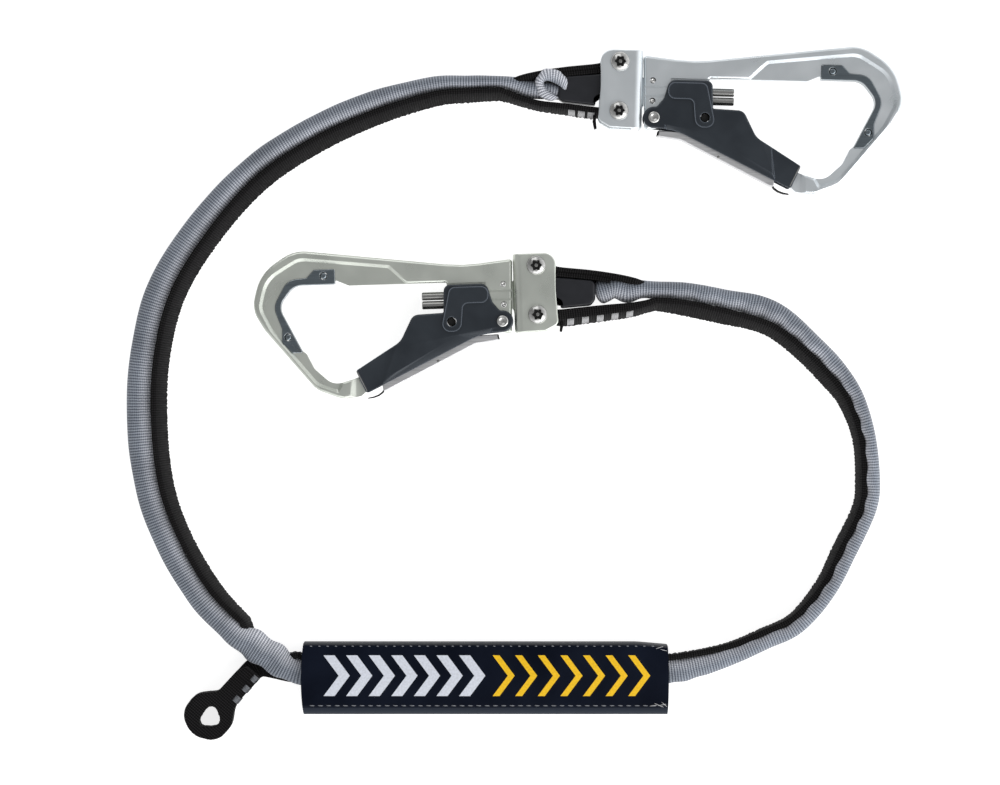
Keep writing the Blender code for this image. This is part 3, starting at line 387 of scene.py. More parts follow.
def sewing_thread(name, colour):
    """Twisted thread: slanting plies along the length of each stitch."""
    finish = Finish(name, 0.7, specular=0.2)
    wave = finish.node("TexWave", {"Vector": finish.place(), "Scale": 900.0, "Distortion": 2.0})
    wave.bands_direction = "DIAGONAL"
    dark = tuple(0.6 * channel for channel in colour)
    finish.colour(finish.ramp(wave.outputs["Fac"], ((0.2, dark), (0.8, colour))))
    finish.bump(wave.outputs["Fac"], 0.08, 0.6)
    return finish.material


def pale_floor(name):
    finish = Finish(name, 0.9, specular=0.0)
    dust = finish.node("TexNoise", {"Vector": finish.place(), "Scale": 3.0})
    finish.colour(finish.ramp(dust.outputs["Fac"], ((0.0, (0.54, 0.54, 0.535)), (1.0, (0.56, 0.56, 0.56)))))
    finish.shader.inputs["Emission Color"].default_value = (1.0, 1.0, 1.0, 1.0)
    finish.shader.inputs["Emission Strength"].default_value = 0.80
    return finish.material


# Each yarn's colours in the hollows, on the flanks and on the crowns of its weave; dark hollows and light
# crowns are painted shade and painted highlight on the weave's relief
GREY_YARN = ((0.20, 0.215, 0.25), (0.60, 0.62, 0.69), (0.92, 0.93, 0.98))
BLACK_YARN = ((0.0015, 0.0015, 0.0015), (0.006, 0.0056, 0.006), (0.020, 0.019, 0.020))
PALE_YARN = ((0.16, 0.15, 0.11), (0.38, 0.35, 0.27), (0.52, 0.49, 0.40))

LOOK = {
    "anodised_a": blasted_metal("anodised_cool", (0.68, 0.725, 0.75), (0.77, 0.81, 0.835), 0.28),
    "anodised_b": blasted_metal("anodised_warm", (0.60, 0.63, 0.575), (0.69, 0.72, 0.66), 0.28),
    # charcoal and dark_steel end on a lighter colour: a painted highlight along their edges
    "charcoal": blasted_metal(
        "charcoal_anodised", (0.018, 0.023, 0.030), (0.029, 0.036, 0.045), 0.30, 0.35, (0.13, 0.15, 0.18)
    ),
    "dark_steel": bright_metal("dark_polished_steel", (0.19, 0.225, 0.25), 0.22, edge_highlight=(0.6, 0.62, 0.63)),
    "bright_steel": bright_metal("bright_plated_steel", (0.50, 0.50, 0.49), 0.2, turned=True),
    "rod_steel": bright_metal("drawn_rod_steel", (0.34, 0.34, 0.33), 0.26),
    "silver_strip": bright_metal("silver_strip", (0.66, 0.66, 0.67), 0.36, depth=0.003),
    "socket": moulded("socket_shadow", (0.006, 0.006, 0.006), 0.6),
    # grey_weave paints shade on each tube beyond about 10 mm round from its inner side
    "grey_weave": ribbed_weave("grey_woven_tube", GREY_YARN, 1.5, 1.05, 0.35, 0.75, 0.3, 0.0095),
    "black_webbing": ribbed_weave("black_webbing", BLACK_YARN, 1.3, 1.1, 0.35, 0.85, 0.03),
    "tear_webbing": ribbed_weave("tear_webbing", PALE_YARN, 1.6, 1.1, 0.3, 0.85, 0.1),
    "vinyl": coated_cloth("navy_vinyl"),
    "boot": moulded("boot_rubber", (0.0065, 0.0075, 0.011), 0.42, 260.0),
    "print_white": moulded("white_print", (0.62, 0.65, 0.72), 0.5),
    "print_yellow": moulded("yellow_print", (0.84, 0.50, 0.003), 0.5),
    "thread": sewing_thread("white_thread", (0.55, 0.55, 0.56)),
    "dim_thread": sewing_thread("grey_thread", (0.22, 0.23, 0.25)),
}

# ---------------------------------------------------------------- shaping tools


def arc(centre, radius, start, end, steps):
    """Points on a circle, from start to end degrees."""
    points = []
    for i in range(steps + 1):
        angle = math.radians(start + (end - start) * i / steps)
        points.append((centre[0] + radius * math.cos(angle), centre[1] + radius * math.sin(angle)))
    return points


def circle(count):
    """Equal angles round a full turn."""
    return [2.0 * math.pi * i / count for i in range(count)]


def rounded(corners, degrees_per_step=7.5):
    """A closed outline through corners (x, y) or (x, y, radius), each turned on its radius."""
    outline = []
    count = len(corners)
    for i, corner in enumerate(corners):
        here = Vector(corner[:2])
        radius = corner[2] if len(corner) > 2 else 0.0
        before = Vector(corners[i - 1][:2]) - here
        after = Vector(corners[(i + 1) % count][:2]) - here
        into, out = before.normalized(), after.normalized()
        half = into.angle(out) / 2.0
        if radius <= 0.0 or math.pi / 2.0 - half < 0.01:
            outline.append(tuple(here))
            continue
        reach = min(radius / math.tan(half), 0.48 * before.length, 0.48 * after.length)
        radius = reach * math.tan(half)
        centre = here + (into + out).normalized() * (radius / math.sin(half))
        start = here + into * reach - centre
        sweep = math.pi - 2.0 * half
        turn = 1.0 if into.x * out.y - into.y * out.x < 0.0 else -1.0
        steps = max(2, round(math.degrees(sweep) / degrees_per_step))
        for k in range(steps + 1):
            outline.append(tuple(centre + Matrix.Rotation(turn * sweep * k / steps, 2) @ start))
    return outline


def grown(corners, distance):
    """Corners of an anticlockwise outline moved outwards by distance."""
    moved = []
    count = len(corners)
    for i, corner in enumerate(corners):
        here = Vector(corner[:2])
        into = (here - Vector(corners[i - 1][:2])).normalized()
        out = (Vector(corners[(i + 1) % count][:2]) - here).normalized()
        side_in = Vector((into.y, -into.x))
        side_out = Vector((out.y, -out.x))
        spot = here + (side_in + side_out) / (1.0 + side_in.dot(side_out)) * distance
        moved.append((spot.x, spot.y, corner[2] if len(corner) > 2 else 0.0))
    return moved


def mesh_from(work, name):
    mesh = bpy.data.meshes.new(name)
    bmesh.ops.recalc_face_normals(work, faces=work.faces)
    work.to_mesh(mesh)
    work.free()
    return mesh


def prism(low_outline, high_outline, low, high):
    """A solid between two outlines with equal point counts, at two heights."""
    work = bmesh.new()
    bottom = [work.verts.new((x, y, low)) for x, y in low_outline]
    top = [work.verts.new((x, y, high)) for x, y in high_outline]
    work.faces.new(list(reversed(bottom)))
    work.faces.new(top)
    for i in range(len(bottom)):
        j = (i + 1) % len(bottom)
        work.faces.new((bottom[i], bottom[j], top[j], top[i]))
    return mesh_from(work, "prism")


def slab(outline, low, high):
    return prism(outline, outline, low, high)


def block(low, high):
    return slab([(low[0], low[1]), (high[0], low[1]), (high[0], high[1]), (low[0], high[1])], low[2], high[2])


def bar(radius, start, end, steps=32):
    """A round bar from start to end."""
    work = bmesh.new()
    start, end = Vector(start), Vector(end)
    bmesh.ops.create_cone(
        work, cap_ends=True, segments=steps, radius1=radius, radius2=radius, depth=(end - start).length
    )
    turn = UP.rotation_difference(end - start).to_matrix().to_4x4()
    bmesh.ops.transform(work, matrix=Matrix.Translation((start + end) / 2.0) @ turn, verts=work.verts)
    return mesh_from(work, "bar")


def turned(profile, spot, steps=40):
    """A turned solid: profile points (radius, height) from axis to axis, spun about a line along z."""
    work = bmesh.new()
    rows = []
    for radius, height in profile:
        if radius < 1e-6:
            rows.append([work.verts.new((spot[0], spot[1], height))])
            continue
        ring = arc(spot, radius, 0.0, 360.0 - 360.0 / steps, steps - 1)
        rows.append([work.verts.new((x, y, height)) for x, y in ring])
    for low, high in zip(rows, rows[1:]):
        for i in range(steps):
            j = (i + 1) % steps
            corners = [low[i % len(low)], low[j % len(low)], high[j % len(high)], high[i % len(high)]]
            work.faces.new(list(dict.fromkeys(corners)))
    return mesh_from(work, "turned")


def both_ends(head):
    """A turned profile with the same head at the top and at the bottom."""
    return head + tuple((radius, -height) for radius, height in reversed(head))


def loft(rings, bore=None):
    """Rings of points joined end to end, with surface coordinates: u along and v around, in metres."""
    work = bmesh.new()
    layer = work.loops.layers.uv.new("UVMap")

    def skin(rows_of_points, flip):
        rows = [[work.verts.new(point) for point in ring] for ring in rows_of_points]
        along = 0.0
        for k, (low, high) in enumerate(zip(rows_of_points, rows_of_points[1:])):
            step = sum((Vector(b) - Vector(a)).length for a, b in zip(low, high)) / len(low)
            around = 0.0
            for i in range(len(low)):
                j = (i + 1) % len(low)
                width = (Vector(low[j]) - Vector(low[i])).length
                corners = [rows[k][i], rows[k][j], rows[k + 1][j], rows[k + 1][i]]
                far, past = along + step, around + width
                places = [(along, around), (along, past), (far, past), (far, around)]
                if flip:
                    corners.reverse()
                    places.reverse()
                face = work.faces.new(corners)
                for loop, (u, v) in zip(face.loops, places):
                    loop[layer].uv = (u * MM, v * MM)
                around += width
            along += step
        return rows

    outer = skin(rings, False)
    inner = skin(bore, True) if bore else None
    for end in (0, -1):
        if inner:
            for i in range(len(outer[end])):
                work.faces.new((outer[end][i - 1], outer[end][i], inner[end][i], inner[end][i - 1]))
        else:
            work.faces.new(outer[end] if end else list(reversed(outer[end])))
    bmesh.ops.recalc_face_normals(work, faces=work.faces)
    mesh = bpy.data.meshes.new("loft")
    work.to_mesh(mesh)
    work.free()
    return mesh


def boxed_coordinates(mesh):
    """Surface coordinates in metres for cut shapes: each face is laid flat along its main direction."""
    layer = mesh.uv_layers.get("UVMap") or mesh.uv_layers.new(name="UVMap")
    for face in mesh.polygons:
        axis = max(range(3), key=lambda i: abs(face.normal[i]))
        for index in face.loop_indices:
            spot = mesh.vertices[mesh.loops[index].vertex_index].co
            pair = [spot[i] * MM for i in range(3) if i != axis]
            layer.data[index].uv = (pair[0], pair[1])


def tidy_faces(mesh):
    """Joins points that all but touch and splits faces with many corners into triangles."""
    work = bmesh.new()
    work.from_mesh(mesh)
    bmesh.ops.remove_doubles(work, verts=work.verts, dist=0.01)
    bmesh.ops.dissolve_degenerate(work, edges=work.edges, dist=0.005)
    many = [face for face in work.faces if len(face.verts) > 4]
    bmesh.ops.triangulate(work, faces=many, ngon_method="EAR_CLIP")
    work.to_mesh(mesh)
    work.free()


class Piece:
    """A visible piece: cut and rounded in millimetres, then placed and given its looks."""

    def __init__(self, name, mesh, look):
        self.thing = bpy.data.objects.new(name, mesh)
        bpy.context.scene.collection.objects.link(self.thing)
        mesh.name = name
        mesh.materials.clear()
        mesh.materials.append(LOOK[look])
        self.cutters = []

    def cut(self, mesh, operation="DIFFERENCE", look=None, solver="EXACT"):
        tool = bpy.data.objects.new("cutter", mesh)
        bpy.context.scene.collection.objects.link(tool)
        mesh.materials.append(LOOK[look] if look else self.thing.data.materials[0])
        modifier = self.thing.modifiers.new("cut", "BOOLEAN")
        modifier.operation = operation
        modifier.object = tool
        modifier.material_mode = "TRANSFER"
        modifier.solver = solver
        self.cutters.append(tool)
        return self

    def drill(self, radius, spot, look=None):
        return self.cut(bar(radius, (*spot, -THROUGH), (*spot, THROUGH)), look=look)

    def bevel(self, width, segments=3, angle=28.0):
        modifier = self.thing.modifiers.new("rounding", "BEVEL")
        modifier.width = width
        modifier.segments = segments
        modifier.limit_method = "ANGLE"
        modifier.angle_limit = math.radians(angle)
        modifier.use_clamp_overlap = False
        modifier.miter_outer = "MITER_ARC"
        return self

    def settle(self, place=None, coordinates=True, sharp=38.0, weighted=True):
        """Applies the modifiers, removes the cutters and puts the mesh in the object's frame."""
        graph = bpy.context.evaluated_depsgraph_get()
        graph.update()
        mesh = bpy.data.meshes.new_from_object(self.thing.evaluated_get(graph))
        self.thing.modifiers.clear()
        self.thing.data = mesh
        for tool in self.cutters:
            bpy.data.objects.remove(tool)
        self.cutters = []
        if coordinates:
            tidy_faces(mesh)
            boxed_coordinates(mesh)
        mesh.transform(place or Matrix.Scale(MM, 4))
        mesh.shade_smooth()
        mesh.set_sharp_from_angle(angle=math.radians(sharp))
        mesh.name = self.thing.name
        if weighted:
            modifier = self.thing.modifiers.new("flat_faces", "WEIGHTED_NORMAL")
            modifier.keep_sharp = True
        return self.thing


def ride(thing, body, slot, *nodes):
    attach(thing, body)
    if nodes:
        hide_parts(*nodes)
    return thing


# ---------------------------------------------------------------- hooks


class Hook:
    """One hook's frame, taken from its gate and plunger joints."""

    def __init__(self, tag):
        self.tag = tag
        gate = JOINTS["gate_" + tag]
        across = Vector(gate["axis"])
        along = -Vector(JOINTS["plunger_" + tag]["axis"])
        spine = across.cross(along)
        turn = Matrix((along, spine, across)).transposed().to_4x4()
        corner = Vector(gate["pos_m"]) - (along * GATE_PIVOT[0] + spine * GATE_PIVOT[1]) * MM
        self.place = Matrix.Translation(corner) @ turn @ Matrix.Scale(MM, 4)
        self.metal = "anodised_" + tag

    def point(self, x, y, z=0.0):
        """A point of the hook's frame in the object's frame, in metres."""
        return self.place @ Vector((x, y, z))

    def name(self, stem):
        return stem + "_" + self.tag


def both_faces(low, high):
    return ((low, high), (-high, -low))


def make_frame(hook):
    piece = Piece(hook.name("hook_frame"), slab(rounded(FRAME_OUTLINE), -FRAME_HALF, FRAME_HALF), hook.metal)
    piece.bevel(1.5, 4)
    piece.cut(slab(rounded(grown(INSERT_OUTLINE, 0.12)), -THROUGH, THROUGH))
    floor = FRAME_HALF - POCKET_DEPTH
    shallow, wider = rounded(POCKET), rounded(grown(POCKET, 2.2))
    piece.cut(prism(shallow, wider, floor, FRAME_HALF + 0.5))
    piece.cut(prism(wider, shallow, -FRAME_HALF - 0.5, -floor))
    wedge = [(80.0, -36.0), (80.0, -60.0), (98.6, -60.0), (98.6, -36.0)]
    wedge_top = [(80.0, -36.0), (80.0, -60.0), (104.2, -60.0), (103.0, -36.0)]
    piece.cut(prism(wedge, wedge_top, 5.0, 7.2))
    piece.cut(prism(wedge_top, wedge, -7.2, -5.0))
    for low, high in both_faces(3.6, THROUGH):
        piece.cut(block((27.6, -9.0, low), (50.0, 5.5, high)))
    for low, high in both_faces(FRAME_HALF - 0.9, THROUGH):
        for y in (0.5, -4.2):
            piece.cut(block((5.0, y - 0.6, low), (27.3, y + 0.6, high)))
    for side in (-0.5, 0.5):
        y = PLUNGER_TIP[1] + side * ROD_SPACING
        piece.cut(bar(2.5, (36.0, y, 0.0), (52.0, y, 0.0)), look="socket")
    slot = arc(GATE_PIVOT, 4.7, 90.0, 270.0, 16) + [(32.0, -20.7), (32.0, -11.3)]
    piece.cut(slab(slot, -2.7, 2.7))
    for spot in ROLL_PINS.values():
        piece.drill(1.65, spot, look="socket")
    piece.drill(2.35, GATE_PIVOT)
    ride(piece.settle(hook.place), hook.name("hook"), "anodised", hook.name("frame"))


def make_insert(hook):
    outline = rounded(INSERT_OUTLINE)
    piece = Piece(hook.name("hook_insert"), slab(outline, -5.6, 5.6), "dark_steel")
    for spot in RIVETS.values():
        piece.drill(1.95, spot, look="socket")
    piece.bevel(0.4)
    ride(piece.settle(hook.place), hook.name("hook"), "dark_steel", hook.name("wear_insert"))
    for side, spot in RIVETS.items():
        head = ((0.0, 6.0), (0.35, 5.9), (0.8, 6.05), (1.3, 5.9), (1.7, 5.4))
        rivet = Piece(hook.name("rivet_" + side), turned(both_ends(head), spot, 24), "dark_steel")
        thing = rivet.settle(hook.place, weighted=False)
        ride(thing, hook.name("hook"), "bright_steel", hook.name("insert_rivet_" + side))


def make_gate(hook):
    end = arc(GATE_PIVOT, 5.8, 78.0, 276.0, 30)
    body = slab(rounded(GATE_OUTLINE + tuple(end)), -GATE_HALF, GATE_HALF)
    piece = Piece(hook.name("hook_gate"), body, "charcoal")
    piece.bevel(0.9, 3)
    piece.cut(slab(rounded(GATE_CHANNEL), -GATE_INNER, GATE_INNER), solver="MANIFOLD")
    nose = [(82.4, -28.0), (85.4, -49.6), (110.0, -62.0), (110.0, -28.0)]
    nose_top = [(76.4, -24.0), (84.4, -49.6), (112.0, -64.0), (112.0, -24.0)]
    edge = [(26.0, -22.6), (26.0, -40.0), (96.0, -70.0), (93.0, -53.4), (34.0, -25.2)]
    edge_top = [(25.0, -19.6), (25.0, -40.0), (96.0, -70.0), (87.0, -46.6), (44.0, -23.2)]
    for flip in (1.0, -1.0):
        for low, high, deep in ((nose, nose_top, 1.0), (edge, edge_top, 1.5)):
            rise = 0.3 / deep
            above = [(c + (c - a) * rise, d + (d - b) * rise) for (a, b), (c, d) in zip(low, high)]
            floor, top = GATE_HALF - deep, GATE_HALF + 0.3
            shape = prism(low, above, floor, top) if flip > 0 else prism(above, low, -top, -floor)
            piece.cut(shape)
    boss = tuple(reversed(BOSS_OUTLINE))
    foot, crown = rounded(grown(boss, 1.0)), rounded(grown(boss, -0.6))
    piece.cut(prism(foot, crown, GATE_INNER + 1.4, BOSS_TOP), "UNION")
    piece.cut(prism(crown, foot, -BOSS_TOP, -GATE_INNER - 1.4), "UNION")
    piece.drill(2.35, GATE_PIVOT)
    piece.drill(2.6, TRIGGER_PIVOT, look="socket")
    gate = hook.name("gate")
    ride(piece.settle(hook.place), gate, "charcoal", hook.name("gate"))
    half = GATE_HALF - 1.0
    strip = [(93.1, -51.2), (98.1, -40.6), (98.6, -40.9), (93.6, -51.4)]
    for side, (low, high) in zip(("top", "back"), both_faces(half - 0.6, half + 0.1)):
        line = Piece(hook.name("gate_end_line_" + side), slab(strip, low, high), "bright_steel")
        ride(line.settle(hook.place), gate, "bright_steel")
        name = hook.name("trigger_pin_" + side)
        pin_low, pin_high = both_faces(4.5, 7.4)[0 if side == "top" else 1]
        shape = bar(2.3, (*TRIGGER_PIVOT, pin_low), (*TRIGGER_PIVOT, pin_high))
        pin = Piece(hook.name("hidden_pin_" + side), shape, "socket")
        pin.bevel(0.3)
        ride(pin.settle(hook.place), gate, "dark_steel", name)
    head = ((0.0, 9.7), (1.3, 9.75), (1.75, 10.05), (2.5, 10.15), (3.0, 9.85), (3.15, 9.3), (2.0, 9.1))
    pivot = Piece(hook.name("pivot_rivet"), turned(both_ends(head), GATE_PIVOT), "bright_steel")
    ride(pivot.settle(hook.place, weighted=False), hook.name("hook"), "bright_steel", hook.name("gate_pin"))
    outer = ((83.6, -50.6), (84.6, -52.6), (87.0, -54.3), (90.0, -55.3), (93.2, -55.6))
    inner = ((93.0, -55.0), (90.2, -54.5), (87.4, -53.5), (85.3, -52.0), (84.4, -50.4))
    strip = Piece(hook.name("latch_leaf"), slab(outer + inner, -3.0, 3.0), "socket")
    ride(strip.bevel(0.12, 2).settle(hook.place), gate, "dark_steel")


def make_trigger(hook):
    body = slab(rounded(TRIGGER_OUTLINE), -TRIGGER_HALF, TRIGGER_HALF)
    piece = Piece(hook.name("hook_trigger"), body, "silver_strip")
    inside = [(30.0, -21.4), (38.0, -25.2), (62.0, -36.8), (64.0, -5.0), (30.0, -5.0)]
    piece.cut(slab(inside, -4.2, 4.2))
    piece.drill(2.5, TRIGGER_PIVOT)
    groove = [(20.2, -26.6), (21.4, -22.0), (22.1, -22.2), (21.0, -26.8)]
    for low, high in both_faces(TRIGGER_HALF - 0.7, THROUGH):
        piece.cut(slab(groove, low, high), look="socket")
    piece.bevel(0.45)
    ride(piece.settle(hook.place), hook.name("trigger"), "bright_steel", hook.name("trigger"))
    for side, (low, high) in zip(("top", "back"), both_faces(5.0, 6.6)):
        shape = bar(0.8, (54.4, -36.4, low), (54.4, -36.4, high), 20)
        stud = Piece(hook.name("trigger_stud_" + side), shape, "rod_steel")
        ride(stud.bevel(0.2, 2).settle(hook.place), hook.name("trigger"), "bright_steel")


def make_plunger(hook):
    piece = Piece(hook.name("hook_plunger"), block((34.0, -7.3, -2.3), (36.5, 2.2, 2.3)), "rod_steel")
    for side in (-0.5, 0.5):
        y = PLUNGER_TIP[1] + side * ROD_SPACING
        piece.cut(bar(2.2, (34.5, y, 0.0), (PLUNGER_TIP[0], y, 0.0), 48), "UNION")
    piece.bevel(0.6, 2, 50.0)
    ride(piece.settle(hook.place), hook.name("plunger"), "bright_steel", hook.name("plunger"))


def make_bracket(hook):
    """A folded clamp: two cheeks joined by a round-cornered web, waisted on the strap's side."""
    half, gap, corner = BRACKET_HALF, BRACKET_GAP, 4.6
    right = 12.5
    bend = arc((right - corner, half - corner), corner, 90.0, 0.0, 12)
    lower = arc((right - corner, corner - half), corner, 0.0, -90.0, 12)
    section = [(-30.0, half)] + bend + lower + [(-30.0, -half)]
    section += [(-30.0, -gap), (7.0, -gap), (7.0, gap), (-30.0, gap)]
    profile = slab(section, -30.0, 30.0)
    profile.transform(Matrix.Rotation(math.radians(90.0), 4, "X"))
    piece = Piece(hook.name("hook_bracket"), profile, hook.metal)
    piece.cut(slab(rounded(BRACKET_OUTLINE), -30.0, 30.0), "INTERSECT")
    piece.cut(block((11.5, -9.6, -4.2), (25.0, 5.4, 4.2)), "UNION")
    piece.cut(bar(2.4, (14.0, PLUNGER_TIP[1], 0.0), (26.0, PLUNGER_TIP[1], 0.0)))
    for spot in SCREWS.values():
        piece.drill(3.9, spot)
    for spot in ROLL_PINS.values():
        piece.drill(1.5, spot)
    piece.bevel(0.7, 3, 40.0)
    ride(piece.settle(hook.place), hook.name("hook"), "anodised", hook.name("bracket"))
    for side, spot in ROLL_PINS.items():
        head = ((0.0, 6.15), (0.45, 6.2), (0.85, 6.45), (1.2, 6.2))
        shape = turned(both_ends(head), spot, 24)
        pin = Piece(hook.name("roll_pin_end_" + side), shape, "bright_steel")
        thing = pin.settle(hook.place, weighted=False)
        ride(thing, hook.name("hook"), "bright_steel", hook.name("roll_pin_" + side))


def six_lobes(spot, inner, outer, steps=48):
    points = []
    for angle in circle(steps):
        radius = (inner + outer) / 2.0 + (outer - inner) / 2.0 * math.cos(6.0 * angle)
        points.append((spot[0] + radius * math.cos(angle), spot[1] + radius * math.sin(angle)))
    return points


def make_screw_head(hook, name, spot, flip, shank, node):
    """A button head with a six-lobed socket and a pin in its middle, on its shank."""
    dome = [(0.0, HEAD_TOP)]
    for i in range(1, 9):
        angle = math.radians(90.0 * i / 8.0)
        dome.append((HEAD_RADIUS * math.sin(angle), HEAD_SEAT + 0.35 + 2.35 * math.cos(angle)))
    dome.append((HEAD_RADIUS - 0.2, HEAD_SEAT))
    foot = -6.5 if flip > 0 else 7.6
    mesh = turned(tuple(dome) + ((shank, HEAD_SEAT), (shank, foot), (0.0, foot)), spot)
    socket = slab(six_lobes(spot, 2.25, 3.0), HEAD_TOP - 1.9, HEAD_TOP + 1.0)
    pin = bar(0.95, (*spot, HEAD_TOP - 2.4), (*spot, HEAD_TOP - 0.6), 20)
    if flip < 0:
        for part in (mesh, socket, pin):
            part.transform(Matrix.Scale(-1.0, 4, UP))
            part.flip_normals()
    piece = Piece(hook.name(name), mesh, "bright_steel")
    piece.cut(socket, look="socket")
    piece.cut(pin, "UNION", "rod_steel")
    piece.bevel(0.1, 2, 48.0)
    ride(piece.settle(hook.place), hook.name("hook"), "bright_steel", hook.name(node))


def make_screws(hook):
    for side, spot in SCREWS.items():
        make_screw_head(hook, "screw_head_" + side, spot, 1.0, 2.5, "clamp_screw_" + side)
        make_screw_head(hook, "nut_head_" + side, spot, -1.0, 3.6, "barrel_nut_" + side)
        piece = Piece(hook.name("nut_sleeve_" + side), bar(3.6, (*spot, -7.2), (*spot, 9.9)), "bright_steel")
        piece.cut(bar(2.7, (*spot, -9.0), (*spot, 12.0)))
        ride(piece.settle(hook.place), hook.name("hook"), "bright_steel")


def coil(start, end, radius, wire, turns):
    """A helical spring along the line from start to end, with its end turns closed."""
    start, end = Vector(start), Vector(end)
    axis = end - start
    turn = UP.rotation_difference(axis).to_matrix()
    steps = 24
    count = steps * turns
    path = []
    for i in range(count + 1):
        share = i / count
        eased = share * share * (3.0 - 2.0 * share)
        angle = 2.0 * math.pi * i / steps
        climb = axis.length * (0.5 * share + 0.5 * eased)
        path.append(start + turn @ Vector((radius * math.cos(angle), radius * math.sin(angle), climb)))
    rings = []
    for i, spot in enumerate(path):
        way = (path[min(count, i + 1)] - path[max(0, i - 1)]).normalized()
        angle = 2.0 * math.pi * i / steps
        out = turn @ Vector((math.cos(angle), math.sin(angle), 0.0))
        side = way.cross(out)
        rings.append([spot + (out * math.cos(a) + side * math.sin(a)) * wire / 2.0 for a in circle(8)])
    return loft(rings)


def make_springs(hook):
    """Coils at the gate's pivot, behind the plunger and in the trigger."""
    x, y = GATE_PIVOT
    piece = Piece(hook.name("gate_coil"), coil((x, y, -2.2), (x, y, 2.2), 3.4, 0.85, 3), "bright_steel")
    thing = piece.settle(hook.place, coordinates=False, weighted=False)
    ride(thing, hook.name("gate"), "bright_steel", hook.name("gate_spring"))
    rear, front = (14.6, PLUNGER_TIP[1], 0.0), (33.4, PLUNGER_TIP[1], 0.0)
    piece = Piece(hook.name("plunger_coil"), coil(rear, front, 1.7, 0.65, 6), "bright_steel")
    thing = piece.settle(hook.place, coordinates=False, weighted=False)
    ride(thing, hook.name("hook"), "bright_steel", hook.name("plunger_spring"))
    squeeze(hook, thing, "plunger", front, rear, PLUNGER_TRAVEL)
    near, far = TRIGGER_SPRING
    piece = Piece(hook.name("trigger_coil"), coil(near, far, 2.1, 0.7, 4), "bright_steel")
    thing = piece.settle(hook.place, coordinates=False, weighted=False)
    ride(thing, hook.name("gate"), "bright_steel", hook.name("trigger_spring"))
    squeeze(hook, thing, "trigger", far, near, TRIGGER_TRAVEL)


def squeeze(hook, thing, joint, moving, fixed, travel):
    """Gives the spring a mesh of its own; its length stays as it is."""
    line = hook.point(*moving) - hook.point(*fixed)
    hook.name(joint)
    hook.point(*fixed)
    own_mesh(thing)


# ---------------------------------------------------------------- ribbons and tubes


def smooth_rows(table, spacing):
    """Evenly spaced rows along a smooth curve through a table whose first two columns are x and y."""
    fine = []
    last = len(table) - 1
    for i in range(last):
        rows = [Vector(table[max(0, min(last, i + k))]) for k in (-1, 0, 1, 2)]
        for k in range(24):
            t = k / 24.0
            square = 2.0 * rows[0] - 5.0 * rows[1] + 4.0 * rows[2] - rows[3]
            cube = 3.0 * rows[1] - rows[0] - 3.0 * rows[2] + rows[3]
            fine.append(0.5 * (2.0 * rows[1] + (rows[2] - rows[0]) * t + square * t ** 2 + cube * t ** 3))
    fine.append(Vector(table[last]))
    lengths = [0.0]
    for before, after in zip(fine, fine[1:]):
        lengths.append(lengths[-1] + (Vector(after[:2]) - Vector(before[:2])).length)
    count = max(2, round(lengths[-1] / spacing))
    rows = []
    k = 0
    for i in range(count + 1):
        target = lengths[-1] * i / count
        while k < len(fine) - 2 and lengths[k + 1] < target:
            k += 1
        rows.append(fine[k].lerp(fine[k + 1], (target - lengths[k]) / (lengths[k + 1] - lengths[k])))
    return rows


def headings(rows):
    """The run direction at each row, in the plan."""
    last = len(rows) - 1
    found = []
    for i in range(len(rows)):
        before, after = rows[max(0, i - 1)], rows[min(last, i + 1)]
        found.append(Vector((after[0] - before[0], after[1] - before[1], 0.0)).normalized())
    return found


def tube_level(share_left, share_right, height):
    """Height of a tube's middle: lifted at the cover, lying in the middle, lifted to the hook."""
    resting = height / 2.0 + 0.3
    z = resting + (LIFT_Z - resting) * max(0.0, share_left) ** 0.5
    return z + (HOOK_Z - z) * max(0.0, share_right)


def arm_layout(tag):
    """The arm's table, and the sign of the side that faces into the loop."""
    return (ARM_A, -1.0) if tag == "a" else (ARM_B, 1.0)


def wrinkle(tag, along, angle, table_end):
    """Folds of the woven tube: how far the wall stands out, in millimetres."""
    soft = noise.noise(Vector((along * 0.05, math.cos(angle) * 0.9, math.sin(angle) * 0.9)))
    fold = 0.35 * soft
    if tag == "a" and along < 62.0:
        bunch = max(0.0, 1.0 - abs(along - 33.0) / 30.0)
        drift = 3.0 * noise.noise(Vector((along * 0.06, 7.0, 0.0)))
        fold += 0.85 * bunch * math.sin(along * 0.42 + 2.4 * math.cos(angle) + drift)
    if tag == "b":
        strong = min(1.0, along / 120.0)
        inner = max(0.0, math.cos(angle) * 0.75 + 0.35)
        beat = math.sin(along * 2.0 * math.pi / 13.5 + 2.6 * noise.noise(Vector((along * 0.02, 3.0, 0.0))))
        fold += 0.75 * strong * inner * beat
        if along < 40.0:
            fold += 0.6 * math.sin(along * 0.5 + 2.0 * math.cos(angle)) * (1.0 - along / 40.0)
    if along > table_end - 45.0:
        fold *= 0.35
    return fold


